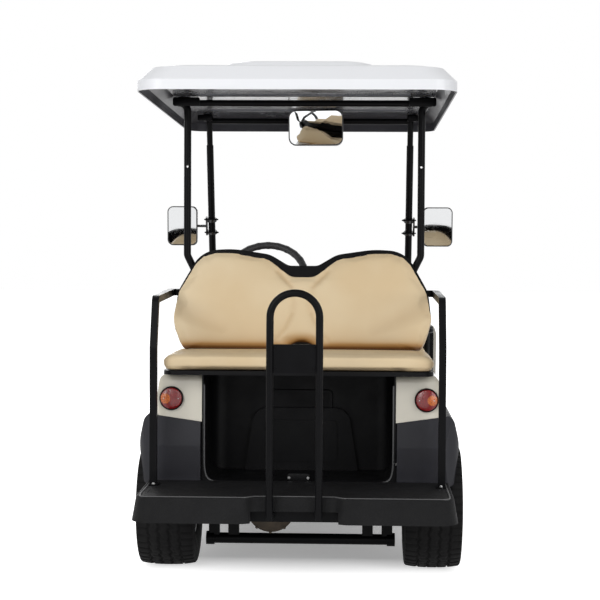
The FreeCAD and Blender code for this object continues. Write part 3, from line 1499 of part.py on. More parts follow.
def make_mirrors():
    reach = S.mirror_reach
    height = S.mirror_clamp_height
    clamp_at = strut_point(height.value)
    along = (strut_point(1300) - strut_point(1200)).normalize()
    sleeve = S.front_strut_radius.value + S.sleeve_wall.value
    low = height - S.mirror_height / 2
    glass_at = as_size(clamp_at.y) - 44
    glass = padded_body("side_mirror", "rear", glass_at, S.mirror_sheet, rounded_rectangle(
        (reach - S.mirror_width, low), (reach, low + S.mirror_height), 22))
    clamps = []
    for number, away in enumerate((-28, 28)):
        centre = clamp_at + along * away
        ring = Part.makeCylinder(sleeve + 6, 14, centre - along * 7, along)
        hole = Part.makeCylinder(sleeve + S.seat_gap.value, 40, centre - along * 20, along)
        clamps.append(ring.cut(hole))
    back = Part.makeBox(8, 20, 80, Vector(sleeve + 3, -10, -40))
    back.Placement = Placement(clamp_at, Rotation(Vector(0, 0, 1), along))
    clamp = own_shape("mirror_clamp", back.fuse(clamps).removeSplitter())
    elbow = reach - S.mirror_width + 11
    arm = bent_tube("mirror_arm", [(clamp_at.x + sleeve + 6, clamp_at.y, height),
                                   (elbow - 20, clamp_at.y, height),
                                   (elbow, clamp_at.y - 31, height)], 8, 6)
    side = fuse("side_mirror_unit", glass, arm, clamp)
    node("side_mirrors", both_sides("side_mirrors", side))
    wide, tall = S.centre_mirror_width, S.centre_mirror_height
    middle = 31
    low = S.roof_edge - 103
    near = front_strut_top - 150
    centre = padded_body("centre_mirror_glass", "rear", near, S.mirror_sheet, rounded_rectangle(
        (middle - wide / 2, low), (middle + wide / 2, low + tall), 30))
    stem = box("mirror_stem", (15, near + 10, low + 105), (39, front_strut_top - S.crossbar_radius
                                                           - S.seat_gap, low + 121))
    node("centre_mirror", fuse("centre_mirror", centre, stem))


def check_and_write():
    doc.recompute()
    failed = [thing.Label for thing in doc.Objects
              if "Invalid" in thing.State or "Error" in thing.State]
    if failed:
        raise RuntimeError("these objects failed: %s" % ", ".join(failed))
    os.makedirs("parts", exist_ok=True)
    for name, thing in nodes.items():
        shape = thing.Shape
        if shape.isNull() or not shape.isValid() or not shape.Solids:
            raise RuntimeError("%s has no valid solid" % name)
        shape.exportStep("parts/%s.step" % name)
        bounds = shape.BoundBox
        print("%-20s %d solids %8.1f cm3  x %.1f %.1f  y %.1f %.1f  z %.1f %.1f" % (
            name, len(shape.Solids), shape.Volume / 1000, bounds.XMin, bounds.XMax, bounds.YMin,
            bounds.YMax, bounds.ZMin, bounds.ZMax))


for make in (make_chassis, make_floor, make_rear_body, make_fenders, make_bag_well, make_step,
             make_grab_bars, make_centre_handle, make_rear_struts, make_front_struts, make_roof,
             make_rear_seat, make_front_seat, make_cowl, make_dashboard, make_bumper, make_wheels,
             make_front_axle, make_knuckles, make_steering_links, make_steering, make_pedals,
             make_rear_axle, make_rear_springs, make_battery, make_lamps, make_mirrors):
    make()
check_and_write()
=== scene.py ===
"""Dresses the golf cart: materials, soft seats, tyres, lamps, mirrors and small hardware."""
import json
import math
import random

import bmesh
import bpy
import numpy as np
from mathutils import Matrix, Vector


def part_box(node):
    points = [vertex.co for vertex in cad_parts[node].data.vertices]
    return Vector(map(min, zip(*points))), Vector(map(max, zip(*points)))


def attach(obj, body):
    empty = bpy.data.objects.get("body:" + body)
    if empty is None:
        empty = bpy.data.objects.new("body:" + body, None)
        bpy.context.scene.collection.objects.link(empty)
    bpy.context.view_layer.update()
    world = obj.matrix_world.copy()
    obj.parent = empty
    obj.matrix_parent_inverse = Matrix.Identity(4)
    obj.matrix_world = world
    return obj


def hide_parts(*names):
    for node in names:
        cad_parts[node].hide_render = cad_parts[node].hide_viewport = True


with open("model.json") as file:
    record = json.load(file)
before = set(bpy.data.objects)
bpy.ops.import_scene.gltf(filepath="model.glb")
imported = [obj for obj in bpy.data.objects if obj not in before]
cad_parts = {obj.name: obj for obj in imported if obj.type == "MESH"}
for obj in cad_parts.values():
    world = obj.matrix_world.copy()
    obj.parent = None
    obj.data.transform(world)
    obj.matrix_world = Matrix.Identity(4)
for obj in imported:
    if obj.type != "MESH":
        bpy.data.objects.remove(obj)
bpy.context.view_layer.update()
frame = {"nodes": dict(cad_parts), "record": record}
nodes = frame["nodes"]
scene = bpy.context.scene
random.seed(7)

# Colours in linear light
TAN = (0.735, 0.570, 0.350)
TAN_LIGHT = (0.785, 0.640, 0.425)
CREAM = (0.70, 0.66, 0.56)
CHARCOAL = (0.0145, 0.0145, 0.0190)
BLACK = (0.0040, 0.0040, 0.0046)
TUBE = (0.0028, 0.0028, 0.0034)
WHITE = (0.80, 0.81, 0.835)
LINER = (0.13, 0.133, 0.15)
RUBBER = (0.0050, 0.0050, 0.0055)
STEEL = (0.42, 0.42, 0.43)
# Painted shade on the vinyl: brown in creases and low down, deeper brown at the backrests' feet and
# arch, near-black in the hollow under the arch
PAINTED_SHADE_BROWN = (0.42, 0.235, 0.085)
PAINTED_DEEP_SHADE_BROWN = (0.15, 0.058, 0.010)
PAINTED_HOLLOW_SHADE = (0.004, 0.0035, 0.003)
# Painted shade on the roof's inward faces
ROOF_INSIDE_SHADE = (0.060, 0.060, 0.070)
DUST = (0.20, 0.18, 0.15)

# Places in metres in the cart's frame
ROOF_MIDDLE = (0.0, -0.25, 1.50)
STEERING_CENTRE = (-0.18, 0.16, 1.07)
CAMERA_PLACE = (0.2025, -6.69, 1.223)
TAIL_LAMP_FACE = -0.982

# Where the middle of a front strut stands along the cart and how high, at its foot and its bend
STRUT_FOOT = (0.470, 0.844)
STRUT_BEND = (0.300, 1.300)

# Heights in metres of the backrests, along their own lean
REAR_BACK_HEIGHT = 0.396
FRONT_BACK_HEIGHT = 0.322

# The tread: where its ribs' grooves run, and how far from the middle the shoulder begins
TREAD_GROOVES = (-0.056, -0.019, 0.019, 0.056)
TREAD_SHOULDER = 0.0975

# The camera's turns in degrees and its lens in millimetres
CAMERA_LEFT = 2.005
CAMERA_DOWN = 2.183
CAMERA_ROLL = 0.3
CAMERA_LENS = 96.0

# How white the floor shows below the cart, a painted shadow over the lamps' real one, and in a
# reflection, and the light from all sides
FLOOR_PAINTED_SHADOW = 0.29
FLOOR_REFLECTED = 0.60
WORLD_LIGHT = 0.36


def scaled(colour, factor):
    return tuple(min(1.0, part * factor) for part in colour)


def feed(tree, socket, value):
    """Links another node's output to a socket, or sets the socket to a plain value."""
    if hasattr(value, "is_output"):
        tree.links.new(value, socket)
    else:
        socket.default_value = value


def add_node(tree, kind, **inputs):
    """A shader node with its inputs set by name, spaces written as underscores."""
    item = tree.nodes.new("ShaderNode" + kind)
    for key, value in inputs.items():
        feed(tree, item.inputs[key.replace("_", " ")], value)
    return item


def maths(tree, operation, first, second=0.0):
    """What an operation makes of two values."""
    item = tree.nodes.new("ShaderNodeMath")
    item.operation = operation
    feed(tree, item.inputs[0], first)
    feed(tree, item.inputs[1], second)
    return item.outputs[0]


def mixed(tree, factor, low, high):
    """The colour between low and high at a factor."""
    item = tree.nodes.new("ShaderNodeMix")
    item.data_type = "RGBA"
    tree.links.new(factor, item.inputs[0])
    for socket, value in ((item.inputs[6], low), (item.inputs[7], high)):
        feed(tree, socket, value if hasattr(value, "is_output") else tuple(value) + (1.0,))
    return item.outputs[2]


def ranged(tree, value, start, end, low, high):
    item = add_node(tree, "MapRange", Value=value, From_Min=start, From_Max=end, To_Min=low,
                    To_Max=high)
    return item.outputs[0]


def surface(name, colour, rough, spread=0.05, metal=0.0, coat=0.0, mottle=(2.5, 0.06),
            grain=(900.0, 0.12), kind="Noise", dust=0.0, specular=0.5, speckle=None):
    """A moulded or painted finish: mottled colour, uneven gloss and a fine surface grain."""
    made = bpy.data.materials.new(name)
    made.use_nodes = True
    tree = made.node_tree
    shader = tree.nodes["Principled BSDF"]
    where = tree.nodes.new("ShaderNodeTexCoord").outputs["Object"]
    large = add_node(tree, "TexNoise", Vector=where, Scale=mottle[0], Detail=4.0).outputs[0]
    shade = ranged(tree, large, 0.3, 0.7, 0.0, 1.0)
    tone = mixed(tree, shade, scaled(colour, 1 - mottle[1]), scaled(colour, 1 + mottle[1]))
    if speckle:
        size, amount, other = speckle
        dots = add_node(tree, "TexNoise", Vector=where, Scale=size, Detail=2.0).outputs[0]
        tone = mixed(tree, ranged(tree, dots, 0.52, 0.66, 0.0, amount), tone, other)
    if dust:
        height = add_node(tree, "SeparateXYZ", Vector=where).outputs[2]
        low = ranged(tree, height, 0.0, 0.5, dust, 0.0)
        tone = mixed(tree, low, tone, DUST)
    tree.links.new(tone, shader.inputs["Base Color"])
    uneven = add_node(tree, "TexNoise", Vector=where, Scale=14.0, Detail=5.0).outputs[0]
    tree.links.new(ranged(tree, uneven, 0.3, 0.7, rough - spread, rough + spread),
                   shader.inputs["Roughness"])
    if kind == "Voronoi":
        fine = add_node(tree, "TexVoronoi", Vector=where, Scale=grain[0]).outputs[0]
    else:
        fine = add_node(tree, "TexNoise", Vector=where, Scale=grain[0], Detail=3.0).outputs[0]
    bump = add_node(tree, "Bump", Strength=grain[1], Distance=0.0006, Height=fine)
    tree.links.new(bump.outputs[0], shader.inputs["Normal"])
    shader.inputs["Metallic"].default_value = metal
    shader.inputs["Coat Weight"].default_value = coat
    shader.inputs["Coat Roughness"].default_value = 0.06
    shader.inputs["Specular IOR Level"].default_value = specular
    return made


def vinyl(name, colour, light):
    """Soft grained vinyl: pebbled grain, wrinkles, and painted shade, brown to near-black, in folds,
    low down and in hollows.
    """
    made = bpy.data.materials.new(name)
    made.use_nodes = True
    tree = made.node_tree
    shader = tree.nodes["Principled BSDF"]
    where = tree.nodes.new("ShaderNodeTexCoord").outputs["Object"]
    large = add_node(tree, "TexNoise", Vector=where, Scale=3.2, Detail=3.0).outputs[0]
    tone = mixed(tree, ranged(tree, large, 0.35, 0.65, 0.0, 1.0), colour, light)
    # A point attribute of painted shade: 0 to 1 brown, 1 to 2 deeper brown, 2 to 3 near-black
    painted_shade = tree.nodes.new("ShaderNodeAttribute")
    painted_shade.attribute_name = "painted_shade"
    soft = ranged(tree, painted_shade.outputs["Fac"], 0.0, 1.0, 0.0, 1.0)
    deep = ranged(tree, painted_shade.outputs["Fac"], 1.0, 2.0, 0.0, 1.0)
    tone = mixed(tree, soft, tone, PAINTED_SHADE_BROWN)
    tone = mixed(tree, deep, tone, PAINTED_DEEP_SHADE_BROWN)
    gap = ranged(tree, painted_shade.outputs["Fac"], 2.0, 3.0, 0.0, 1.0)
    tone = mixed(tree, gap, tone, PAINTED_HOLLOW_SHADE)
    tree.links.new(tone, shader.inputs["Base Color"])
    pebble = add_node(tree, "TexVoronoi", Vector=where, Scale=520.0)
    pebble.feature = "SMOOTH_F1"
    wrinkle = add_node(tree, "TexNoise", Vector=where, Scale=38.0, Detail=5.0, Distortion=0.6)
    both = add_node(tree, "Math")
    both.operation = "MULTIPLY_ADD"
    tree.links.new(wrinkle.outputs[0], both.inputs[0])
    both.inputs[1].default_value = 1.6
    tree.links.new(pebble.outputs[0], both.inputs[2])
    bump = add_node(tree, "Bump", Strength=0.22, Distance=0.0009, Height=both.outputs[0])
    tree.links.new(bump.outputs[0], shader.inputs["Normal"])
    tree.links.new(ranged(tree, wrinkle.outputs[0], 0.3, 0.7, 0.40, 0.52),
                   shader.inputs["Roughness"])
    shader.inputs["Specular IOR Level"].default_value = 0.25
    return made


def lens(name, colour, rough=0.12):
    """A coloured lens with a fine cell pattern and a painted glint in each cell, lighter in its middle
    and darker at its rim, for a bright, deep look.
    """
    made = bpy.data.materials.new(name)
    made.use_nodes = True
    tree = made.node_tree
    shader = tree.nodes["Principled BSDF"]
    where = tree.nodes.new("ShaderNodeTexCoord").outputs["Object"]
    cell = add_node(tree, "TexVoronoi", Vector=where, Scale=260.0)
    # Painted glint: lighter colour at each cell's middle
    painted_cell_glint = ranged(tree, cell.outputs[0], 0.0, 0.7, 0.0, 1.0)
    tone = mixed(tree, painted_cell_glint, scaled(colour, 1.25), scaled(colour, 0.55))
    tree.links.new(tone, shader.inputs["Base Color"])
    bump = add_node(tree, "Bump", Strength=0.5, Distance=0.0012, Height=cell.outputs[0])
    tree.links.new(bump.outputs[0], shader.inputs["Normal"])
    shader.inputs["Roughness"].default_value = rough
    shader.inputs["Coat Weight"].default_value = 0.35
    shader.inputs["Coat Roughness"].default_value = 0.03
    return made


def mirror_glass(name):
    made = bpy.data.materials.new(name)
    made.use_nodes = True
    tree = made.node_tree
    shader = tree.nodes["Principled BSDF"]
    where = tree.nodes.new("ShaderNodeTexCoord").outputs["Object"]
    haze = add_node(tree, "TexNoise", Vector=where, Scale=30.0, Detail=3.0).outputs[0]
    tree.links.new(ranged(tree, haze, 0.3, 0.7, 0.015, 0.05), shader.inputs["Roughness"])
    shader.inputs["Base Color"].default_value = (0.86, 0.87, 0.88, 1.0)
    shader.inputs["Metallic"].default_value = 1.0
    return made


MATERIALS = {
    "roof_white": surface("roof_white", WHITE, 0.34, 0.02, coat=0.1, mottle=(1.2, 0.01),
                          grain=(60.0, 0.01), specular=0.25),
    "liner_grey": surface("liner_grey", LINER, 0.22, 0.08, coat=0.6, mottle=(3.0, 0.25),
                          grain=(9.0, 0.9)),
    "body_cream": surface("body_cream", CREAM, 0.22, 0.04, coat=1.0, mottle=(1.6, 0.03),
                          grain=(70.0, 0.03), dust=0.05),
    "fender_charcoal": surface("fender_charcoal", CHARCOAL, 0.46, 0.07, mottle=(5.0, 0.18),
                               grain=(1100.0, 0.35), dust=0.02, specular=0.26),
    "black_plastic": surface("black_plastic", BLACK, 0.42, 0.09, mottle=(6.0, 0.25),
                             grain=(1300.0, 0.4), dust=0.005, specular=0.10),
    "black_steel": surface("black_steel", TUBE, 0.36, 0.06, mottle=(8.0, 0.2),
                           grain=(1800.0, 0.15), specular=0.08),
    "tan_vinyl": vinyl("tan_vinyl", TAN, TAN_LIGHT),
    "tyre_rubber": surface("tyre_rubber", RUBBER, 0.74, 0.08, mottle=(7.0, 0.3),
                           grain=(700.0, 0.5), dust=0.01, specular=0.14),
    "wheel_paint": surface("wheel_paint", (0.34, 0.34, 0.35), 0.36, 0.08, metal=0.6,
                           mottle=(9.0, 0.1), grain=(900.0, 0.1), dust=0.1),
    "lamp_red": lens("lamp_red", (0.30, 0.003, 0.005)),
    "lamp_clear": lens("lamp_clear", (0.55, 0.56, 0.58), 0.08),
    "mirror_black": surface("mirror_black", (0.012, 0.012, 0.013), 0.28, 0.05, coat=0.3),
    "bare_steel": surface("bare_steel", STEEL, 0.36, 0.1, metal=0.9, mottle=(30.0, 0.2),
                          grain=(400.0, 0.2)),
    "battery_black": surface("battery_black", (0.02, 0.02, 0.022), 0.5, 0.08),
    "wheel_rubber": surface("wheel_rubber", (0.016, 0.016, 0.018), 0.5, 0.06,
                            grain=(700.0, 0.6), kind="Voronoi"),
}


def paint_inside_shade(made, centre, colour):
    """Gives the faces that look towards a middle point a darker colour, as painted shade on the inside.
    """
    tree = made.node_tree
    socket = tree.nodes["Principled BSDF"].inputs["Base Color"]
    place = tree.nodes.new("ShaderNodeNewGeometry")
    away = add_node(tree, "VectorMath")
    away.operation = "SUBTRACT"
    tree.links.new(place.outputs["Position"], away.inputs[0])
    away.inputs[1].default_value = centre
    facing = add_node(tree, "VectorMath")
    facing.operation = "DOT_PRODUCT"
    tree.links.new(away.outputs[0], facing.inputs[0])
    tree.links.new(place.outputs["True Normal"], facing.inputs[1])
    inside = ranged(tree, facing.outputs["Value"], 0.0, 0.02, 1.0, 0.0)
    tree.links.new(mixed(tree, inside, socket.links[0].from_socket, colour), socket)


paint_inside_shade(MATERIALS["roof_white"], ROOF_MIDDLE, ROOF_INSIDE_SHADE)
AMBER = lens("lamp_amber", (0.75, 0.17, 0.02))
GLASS = mirror_glass("mirror_glass")
STEP = surface("step_mat", (0.0085, 0.0085, 0.009), 0.60, 0.08, mottle=(6.0, 0.2),
               grain=(420.0, 1.0), kind="Voronoi", specular=0.10,
               speckle=(900.0, 0.18, (0.05, 0.05, 0.052)))
CAST = surface("cast_metal", (0.055, 0.040, 0.026), 0.62, 0.1, metal=0.2, mottle=(24.0, 0.4),
               grain=(260.0, 0.8))
ZINC = surface("zinc_bolt", (0.5, 0.5, 0.5), 0.32, 0.1, metal=1.0, mottle=(90.0, 0.15),
               grain=(600.0, 0.2))

for part in frame["record"]["subparts"]:
    piece = nodes[part["node"]]
    if not piece.data.materials:
        piece.data.materials.append(None)
    for used in piece.material_slots:
        used.material = MATERIALS[part["material_slot"]]
for used in nodes["rear_step"].material_slots:
    used.material = STEP


def link(name, data, material=None, body="cart"):
    """A new piece that is already in place, riding on a body."""
    made = bpy.data.objects.new(name, data)
    scene.collection.objects.link(made)
    if material is not None:
        data.materials.append(material)
    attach(made, body)
    return made


def mesh_piece(name, points, faces, material, body="cart", smooth=True):
    data = bpy.data.meshes.new(name)
    data.from_pydata([tuple(point) for point in points], [], faces)
    data.update()
    for face in data.polygons:
        face.use_smooth = smooth
    return link(name, data, material, body)


def basis(axis):
    """Two unit vectors across an axis."""
    axis = Vector(axis).normalized()
    other = Vector((0, 0, 1)) if abs(axis.z) < 0.9 else Vector((1, 0, 0))
    across = axis.cross(other).normalized()
    return axis, across, axis.cross(across)


def ringed(points, faces, centre, axis, profile, sides, close=True):
    """Adds a turned form to a bunch: profile holds (distance along the axis, radius)."""
    axis, across, up = basis(axis)
    start = len(points)
    centre = Vector(centre)
    for along, radius in profile:
        for step in range(sides):
            turn = 2 * math.pi * step / sides
            points.append(centre + axis * along + (across * math.cos(turn) + up * math.sin(turn))
                          * radius)
    for row in range(len(profile) - 1):
        for step in range(sides):
            after = (step + 1) % sides
            low, high = start + row * sides, start + (row + 1) * sides
            faces.append((low + step, low + after, high + after, high + step))
    if close:
        faces.append(tuple(start + step for step in reversed(range(sides))))
        last = start + (len(profile) - 1) * sides
        faces.append(tuple(last + step for step in range(sides)))


def turned(name, centre, axis, profile, sides, material, body="cart", close=True):
    points, faces = [], []
    ringed(points, faces, centre, axis, profile, sides, close)
    return mesh_piece(name, points, faces, material, body)


def bolts(name, places, axis, size, material, body="cart"):
    """Hexagon heads on washers."""
    points, faces = [], []
    for place in places:
        ringed(points, faces, place, axis, [(0, size * 1.25), (size * 0.16, size * 1.25)], 20)
        ringed(points, faces, place, axis, [
            (size * 0.16, size), (size * 0.7, size), (size * 0.84, size * 0.86)], 6)
        ringed(points, faces, place, axis, [
            (size * 0.84, size * 0.55), (size * 0.98, size * 0.5), (size * 1.02, size * 0.3)], 12)
    return mesh_piece(name, points, faces, material, body, smooth=False)


def tube(name, points, radius, material, body="cart", closed=False, order=3):
    """A round bar along a smooth line."""
    data = bpy.data.curves.new(name, "CURVE")
    data.dimensions = "3D"
    data.bevel_depth = radius
    data.bevel_resolution = 5
    data.resolution_u = 8
    data.use_fill_caps = True
    line = data.splines.new("NURBS")
    line.points.add(len(points) - 1)
    for item, point in zip(line.points, points):
        item.co = tuple(point) + (1.0,)
    line.order_u = order
    line.use_endpoint_u = not closed
    line.use_cyclic_u = closed
    return link(name, data, material, body)


def rounded_loop(half, tall, radius, steps=8):
    """Points round a rectangle of half-sizes with rounded corners, in its own plane."""
    loop = []
    for number, (across, up) in enumerate(((1, 1), (-1, 1), (-1, -1), (1, -1))):
        for step in range(steps + 1):
            turn = math.pi / 2 * (number + step / steps)
            loop.append((across * (half - radius) + radius * math.cos(turn),
                         up * (tall - radius) + radius * math.sin(turn)))
    return loop


def plate(name, centre, right, up, half, tall, radius, levels, material, body="cart"):
    """A rounded plate with stepped edges: levels holds (distance out, inset)."""
    right, up = Vector(right).normalized(), Vector(up).normalized()
    out = right.cross(up)
    centre = Vector(centre)
    points, faces = [], []
    count = 0
    for away, inset in levels:
        loop = rounded_loop(half - inset, tall - inset, max(0.001, radius - inset))
        count = len(loop)
        points += [centre + right * a + up * b + out * away for a, b in loop]
    for row in range(len(levels) - 1):
        for step in range(count):
            after = (step + 1) % count
            low, high = row * count, (row + 1) * count
            faces.append((low + step, low + after, high + after, high + step))
    faces.append(tuple(reversed(range(count))))
    faces.append(tuple((len(levels) - 1) * count + step for step in range(count)))
    return mesh_piece(name, points, faces, material, body)


# Tyres
def tread_depth(across, turn):
    """How deep the tread is cut at a place: zig-zag grooves between ribs, and fine sipes."""
    depth = 0.0
    swing = 0.0035 * math.asin(math.sin(turn * 36)) / (math.pi / 2)
    for groove in TREAD_GROOVES:
        if abs(across - groove - swing) < 0.0042:
            depth = 0.0065
    if 0.062 < abs(across) < 0.101:
        phase = (turn * 48 / math.pi / 2 + (0.5 if across > 0 else 0)) % 1.0
        if phase < 0.22:
            depth = max(depth, 0.006)
    elif depth == 0.0:
        phase = (turn * 72 / math.pi / 2 + abs(across) * 12) % 1.0
        if phase < 0.12:
            depth = 0.0022
    return depth


def tyre_mesh():
    """A low street tyre in its own frame, axle along X."""
    half = 0.1068
    outline = [(-0.088, 0.1125), (-0.093, 0.1135), (-0.0975, 0.121), (-0.1035, 0.137),
               (-half, 0.158), (-half, 0.172), (-0.1045, 0.178), (-0.1055, 0.186),
               (-0.1045, 0.200), (-0.1035, 0.210), (-0.1015, 0.2165), (-TREAD_SHOULDER, 0.2205)]
    tread = []
    steps = 46
    for step in range(1, steps):
        across = -TREAD_SHOULDER + 2 * TREAD_SHOULDER * step / steps
        crown = 0.2284 - 0.0079 * (abs(across) / TREAD_SHOULDER) ** 2.6
        tread.append((across, crown))
    profile = outline + tread + [(-across, radius) for across, radius in reversed(outline)]
    sides = 300
    points, faces = [], []
    for step in range(sides):
        turn = 2 * math.pi * step / sides
        for across, radius in profile:
            cut = tread_depth(across, turn) if radius > 0.2195 else 0.0
            points.append((across, (radius - cut) * math.cos(turn),
                           (radius - cut) * math.sin(turn)))
    count = len(profile)
    for step in range(sides):
        after = (step + 1) % sides
        for row in range(count - 1):
            low, high = step * count + row, after * count + row
            faces.append((low, high, high + 1, low + 1))
    data = bpy.data.meshes.new("street_tyre")
    data.from_pydata(points, [], faces)
    data.update()
    for face in data.polygons:
        face.use_smooth = True
    data.materials.append(MATERIALS["tyre_rubber"])
    return data


def make_wheels():
    shape = tyre_mesh()
    for end in ("front", "rear"):
        for side, sign in (("left", -1), ("right", 1)):
            low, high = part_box("tyre_%s_%s" % (end, side))
            hub = (low + high) / 2
            body = "wheel_%s_%s" % (end, side)
            tyre = bpy.data.objects.new("street_tyre_%s_%s" % (end, side), shape)
            scene.collection.objects.link(tyre)
            tyre.location = hub
            tyre.rotation_euler = (random.randrange(4) * math.pi / 2, 0, 0)
            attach(tyre, body)
            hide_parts("tyre_%s_%s" % (end, side))
            out = Vector((sign, 0, 0))
            places = []
            for number in range(4):
                turn = math.pi / 2 * number + 0.4
                places.append(hub + out * 0.0371 + Vector((0, math.cos(turn), math.sin(turn)))
                              * 0.041)
            bolts("lug_nuts_%s_%s" % (end, side), places, out, 0.0085, ZINC, body)
            turned("hub_cap_%s_%s" % (end, side), hub + out * 0.024, out, [
                (0, 0.0235), (0.014, 0.0235), (0.020, 0.021), (0.0235, 0.015), (0.025, 0.006)],
                32, MATERIALS["wheel_paint"], body)


# Seats
def softened(name, node, voxel, start, cap, pressure):
    """A cushion swollen from its solid: remeshed, blown up like a filled cover, and applied."""
    source = nodes[node]
    made = bpy.data.objects.new(name, source.data.copy())
    scene.collection.objects.link(made)
    made.data.materials.clear()
    made.data.materials.append(MATERIALS["tan_vinyl"])
    remesh = made.modifiers.new("even", "REMESH")
    remesh.mode = "VOXEL"
    remesh.voxel_size = voxel
    graph = bpy.context.evaluated_depsgraph_get()
    made.data = bpy.data.meshes.new_from_object(made.evaluated_get(graph))
    made.modifiers.clear()
    normals = [vertex.normal.copy() for vertex in made.data.vertices]
    for vertex, normal in zip(made.data.vertices, normals):
        vertex.co -= normal * start
    rest = [vertex.co.copy() for vertex in made.data.vertices]
    cloth = made.modifiers.new("cover", "CLOTH")
    cloth.settings.use_pressure = True
    cloth.settings.uniform_pressure_force = pressure
    cloth.settings.effector_weights.gravity = 0.0
    cloth.settings.quality = 4
    cloth.settings.mass = 0.35
    cloth.settings.tension_stiffness = 18
    cloth.settings.compression_stiffness = 18
    cloth.settings.bending_stiffness = 1.5
    for number in range(1, 21):
        scene.frame_set(number)
    graph = bpy.context.evaluated_depsgraph_get()
    swollen = made.evaluated_get(graph).to_mesh()
    moved = [vertex.co.copy() for vertex in swollen.vertices]
    made.evaluated_get(graph).to_mesh_clear()
    made.modifiers.clear()
    scene.frame_set(1)
    for vertex, before, after in zip(made.data.vertices, rest, moved):
        step = after - before
        if step.length > cap:
            step *= cap / step.length
        vertex.co = before + step
    return made


def smoothed(made, rounds=4, amount=0.5):
    """Evens out the mesh by moving every vertex towards its neighbours' middle."""
    work = bmesh.new()
    work.from_mesh(made.data)
    for _ in range(rounds):
        bmesh.ops.smooth_vert(work, verts=work.verts, factor=amount, use_axis_x=True,
                              use_axis_y=True, use_axis_z=True)
    work.to_mesh(made.data)
    work.free()


def read_mesh(made):
    """The vertices' places and normals as rows."""
    data = made.data
    data.update()
    places = np.empty(len(data.vertices) * 3)
    normals = np.empty(len(data.vertices) * 3)
    data.vertices.foreach_get("co", places)
    data.vertices.foreach_get("normal", normals)
    return places.reshape(-1, 3), normals.reshape(-1, 3)


def write_mesh(made, places):
    made.data.vertices.foreach_set("co", places.reshape(-1))
    made.data.update()


def finish_cushion(made, node, tone, body="cart"):
    """Stores the painted shade as a point attribute, adds one subdivision, sets the cushion on its body
    and hides its solid.
    """
    layer = made.data.attributes.new("painted_shade", "FLOAT", "POINT")
    layer.data.foreach_set("value", np.clip(tone, 0.0, 3.0))
    for face in made.data.polygons:
        face.use_smooth = True
    finer = made.modifiers.new("finer", "SUBSURF")
    finer.levels = 1
    finer.render_levels = 1
    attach(made, body)
    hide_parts(node)


def valley(distance, width):
    """1 on a line and falling off smoothly to 0 beside it."""
    return np.exp(-(distance / width) ** 2)


def line_distance(across, up, start, end):
    """Distance from points in a plane to a segment."""
    line = np.array(end) - np.array(start)
    share = ((across - start[0]) * line[0] + (up - start[1]) * line[1]) / (line @ line)
    share = np.clip(share, 0.0, 1.0)
    return np.hypot(across - start[0] - line[0] * share, up - start[1] - line[1] * share)


def fitted(made, node, lean, proud):
    """Stretches a swollen cover along its own three directions until it fills its solid's box."""
    slant = math.radians(lean)
    own = np.array([[1, 0, 0], [0, math.cos(slant), -math.sin(slant)],
                    [0, math.sin(slant), math.cos(slant)]])
    solid = read_mesh(nodes[node])[0] @ own.T
    places = read_mesh(made)[0] @ own.T
    for row in range(3):
        low, high = solid[:, row].min() - proud[row][0], solid[:, row].max() + proud[row][1]
        start, end = places[:, row].min(), places[:, row].max()
        places[:, row] = low + (places[:, row] - start) * (high - low) / (end - start)
    write_mesh(made, places @ own)


def filled_out(places, low, high, reach=0.034, corner=0.012):
    """Widens the foot of a cushion level by level, so that it sits full on its pan."""
    height = places[:, 2] - low.z
    steps = np.linspace(0.0, reach, 9)
    for axis in (0, 1):
        middle = (low[axis] + high[axis]) / 2
        half = (high[axis] - low[axis]) / 2
        away = places[:, axis] - middle
        factors = []
        for step in steps:
            near = np.abs(height - step) < 0.004
            widest = np.abs(away[near]).max() if near.any() else half
            inward = max(0.0, corner - step)
            wanted = half - corner + math.sqrt(corner * corner - inward * inward)
            factors.append(max(1.0, wanted / widest))
        fade = np.clip((reach + 0.006 - height) / 0.012, 0.0, 1.0)
        factor = np.interp(height, steps, factors)
        places[:, axis] = middle + away * (1 + (factor - 1) * fade)


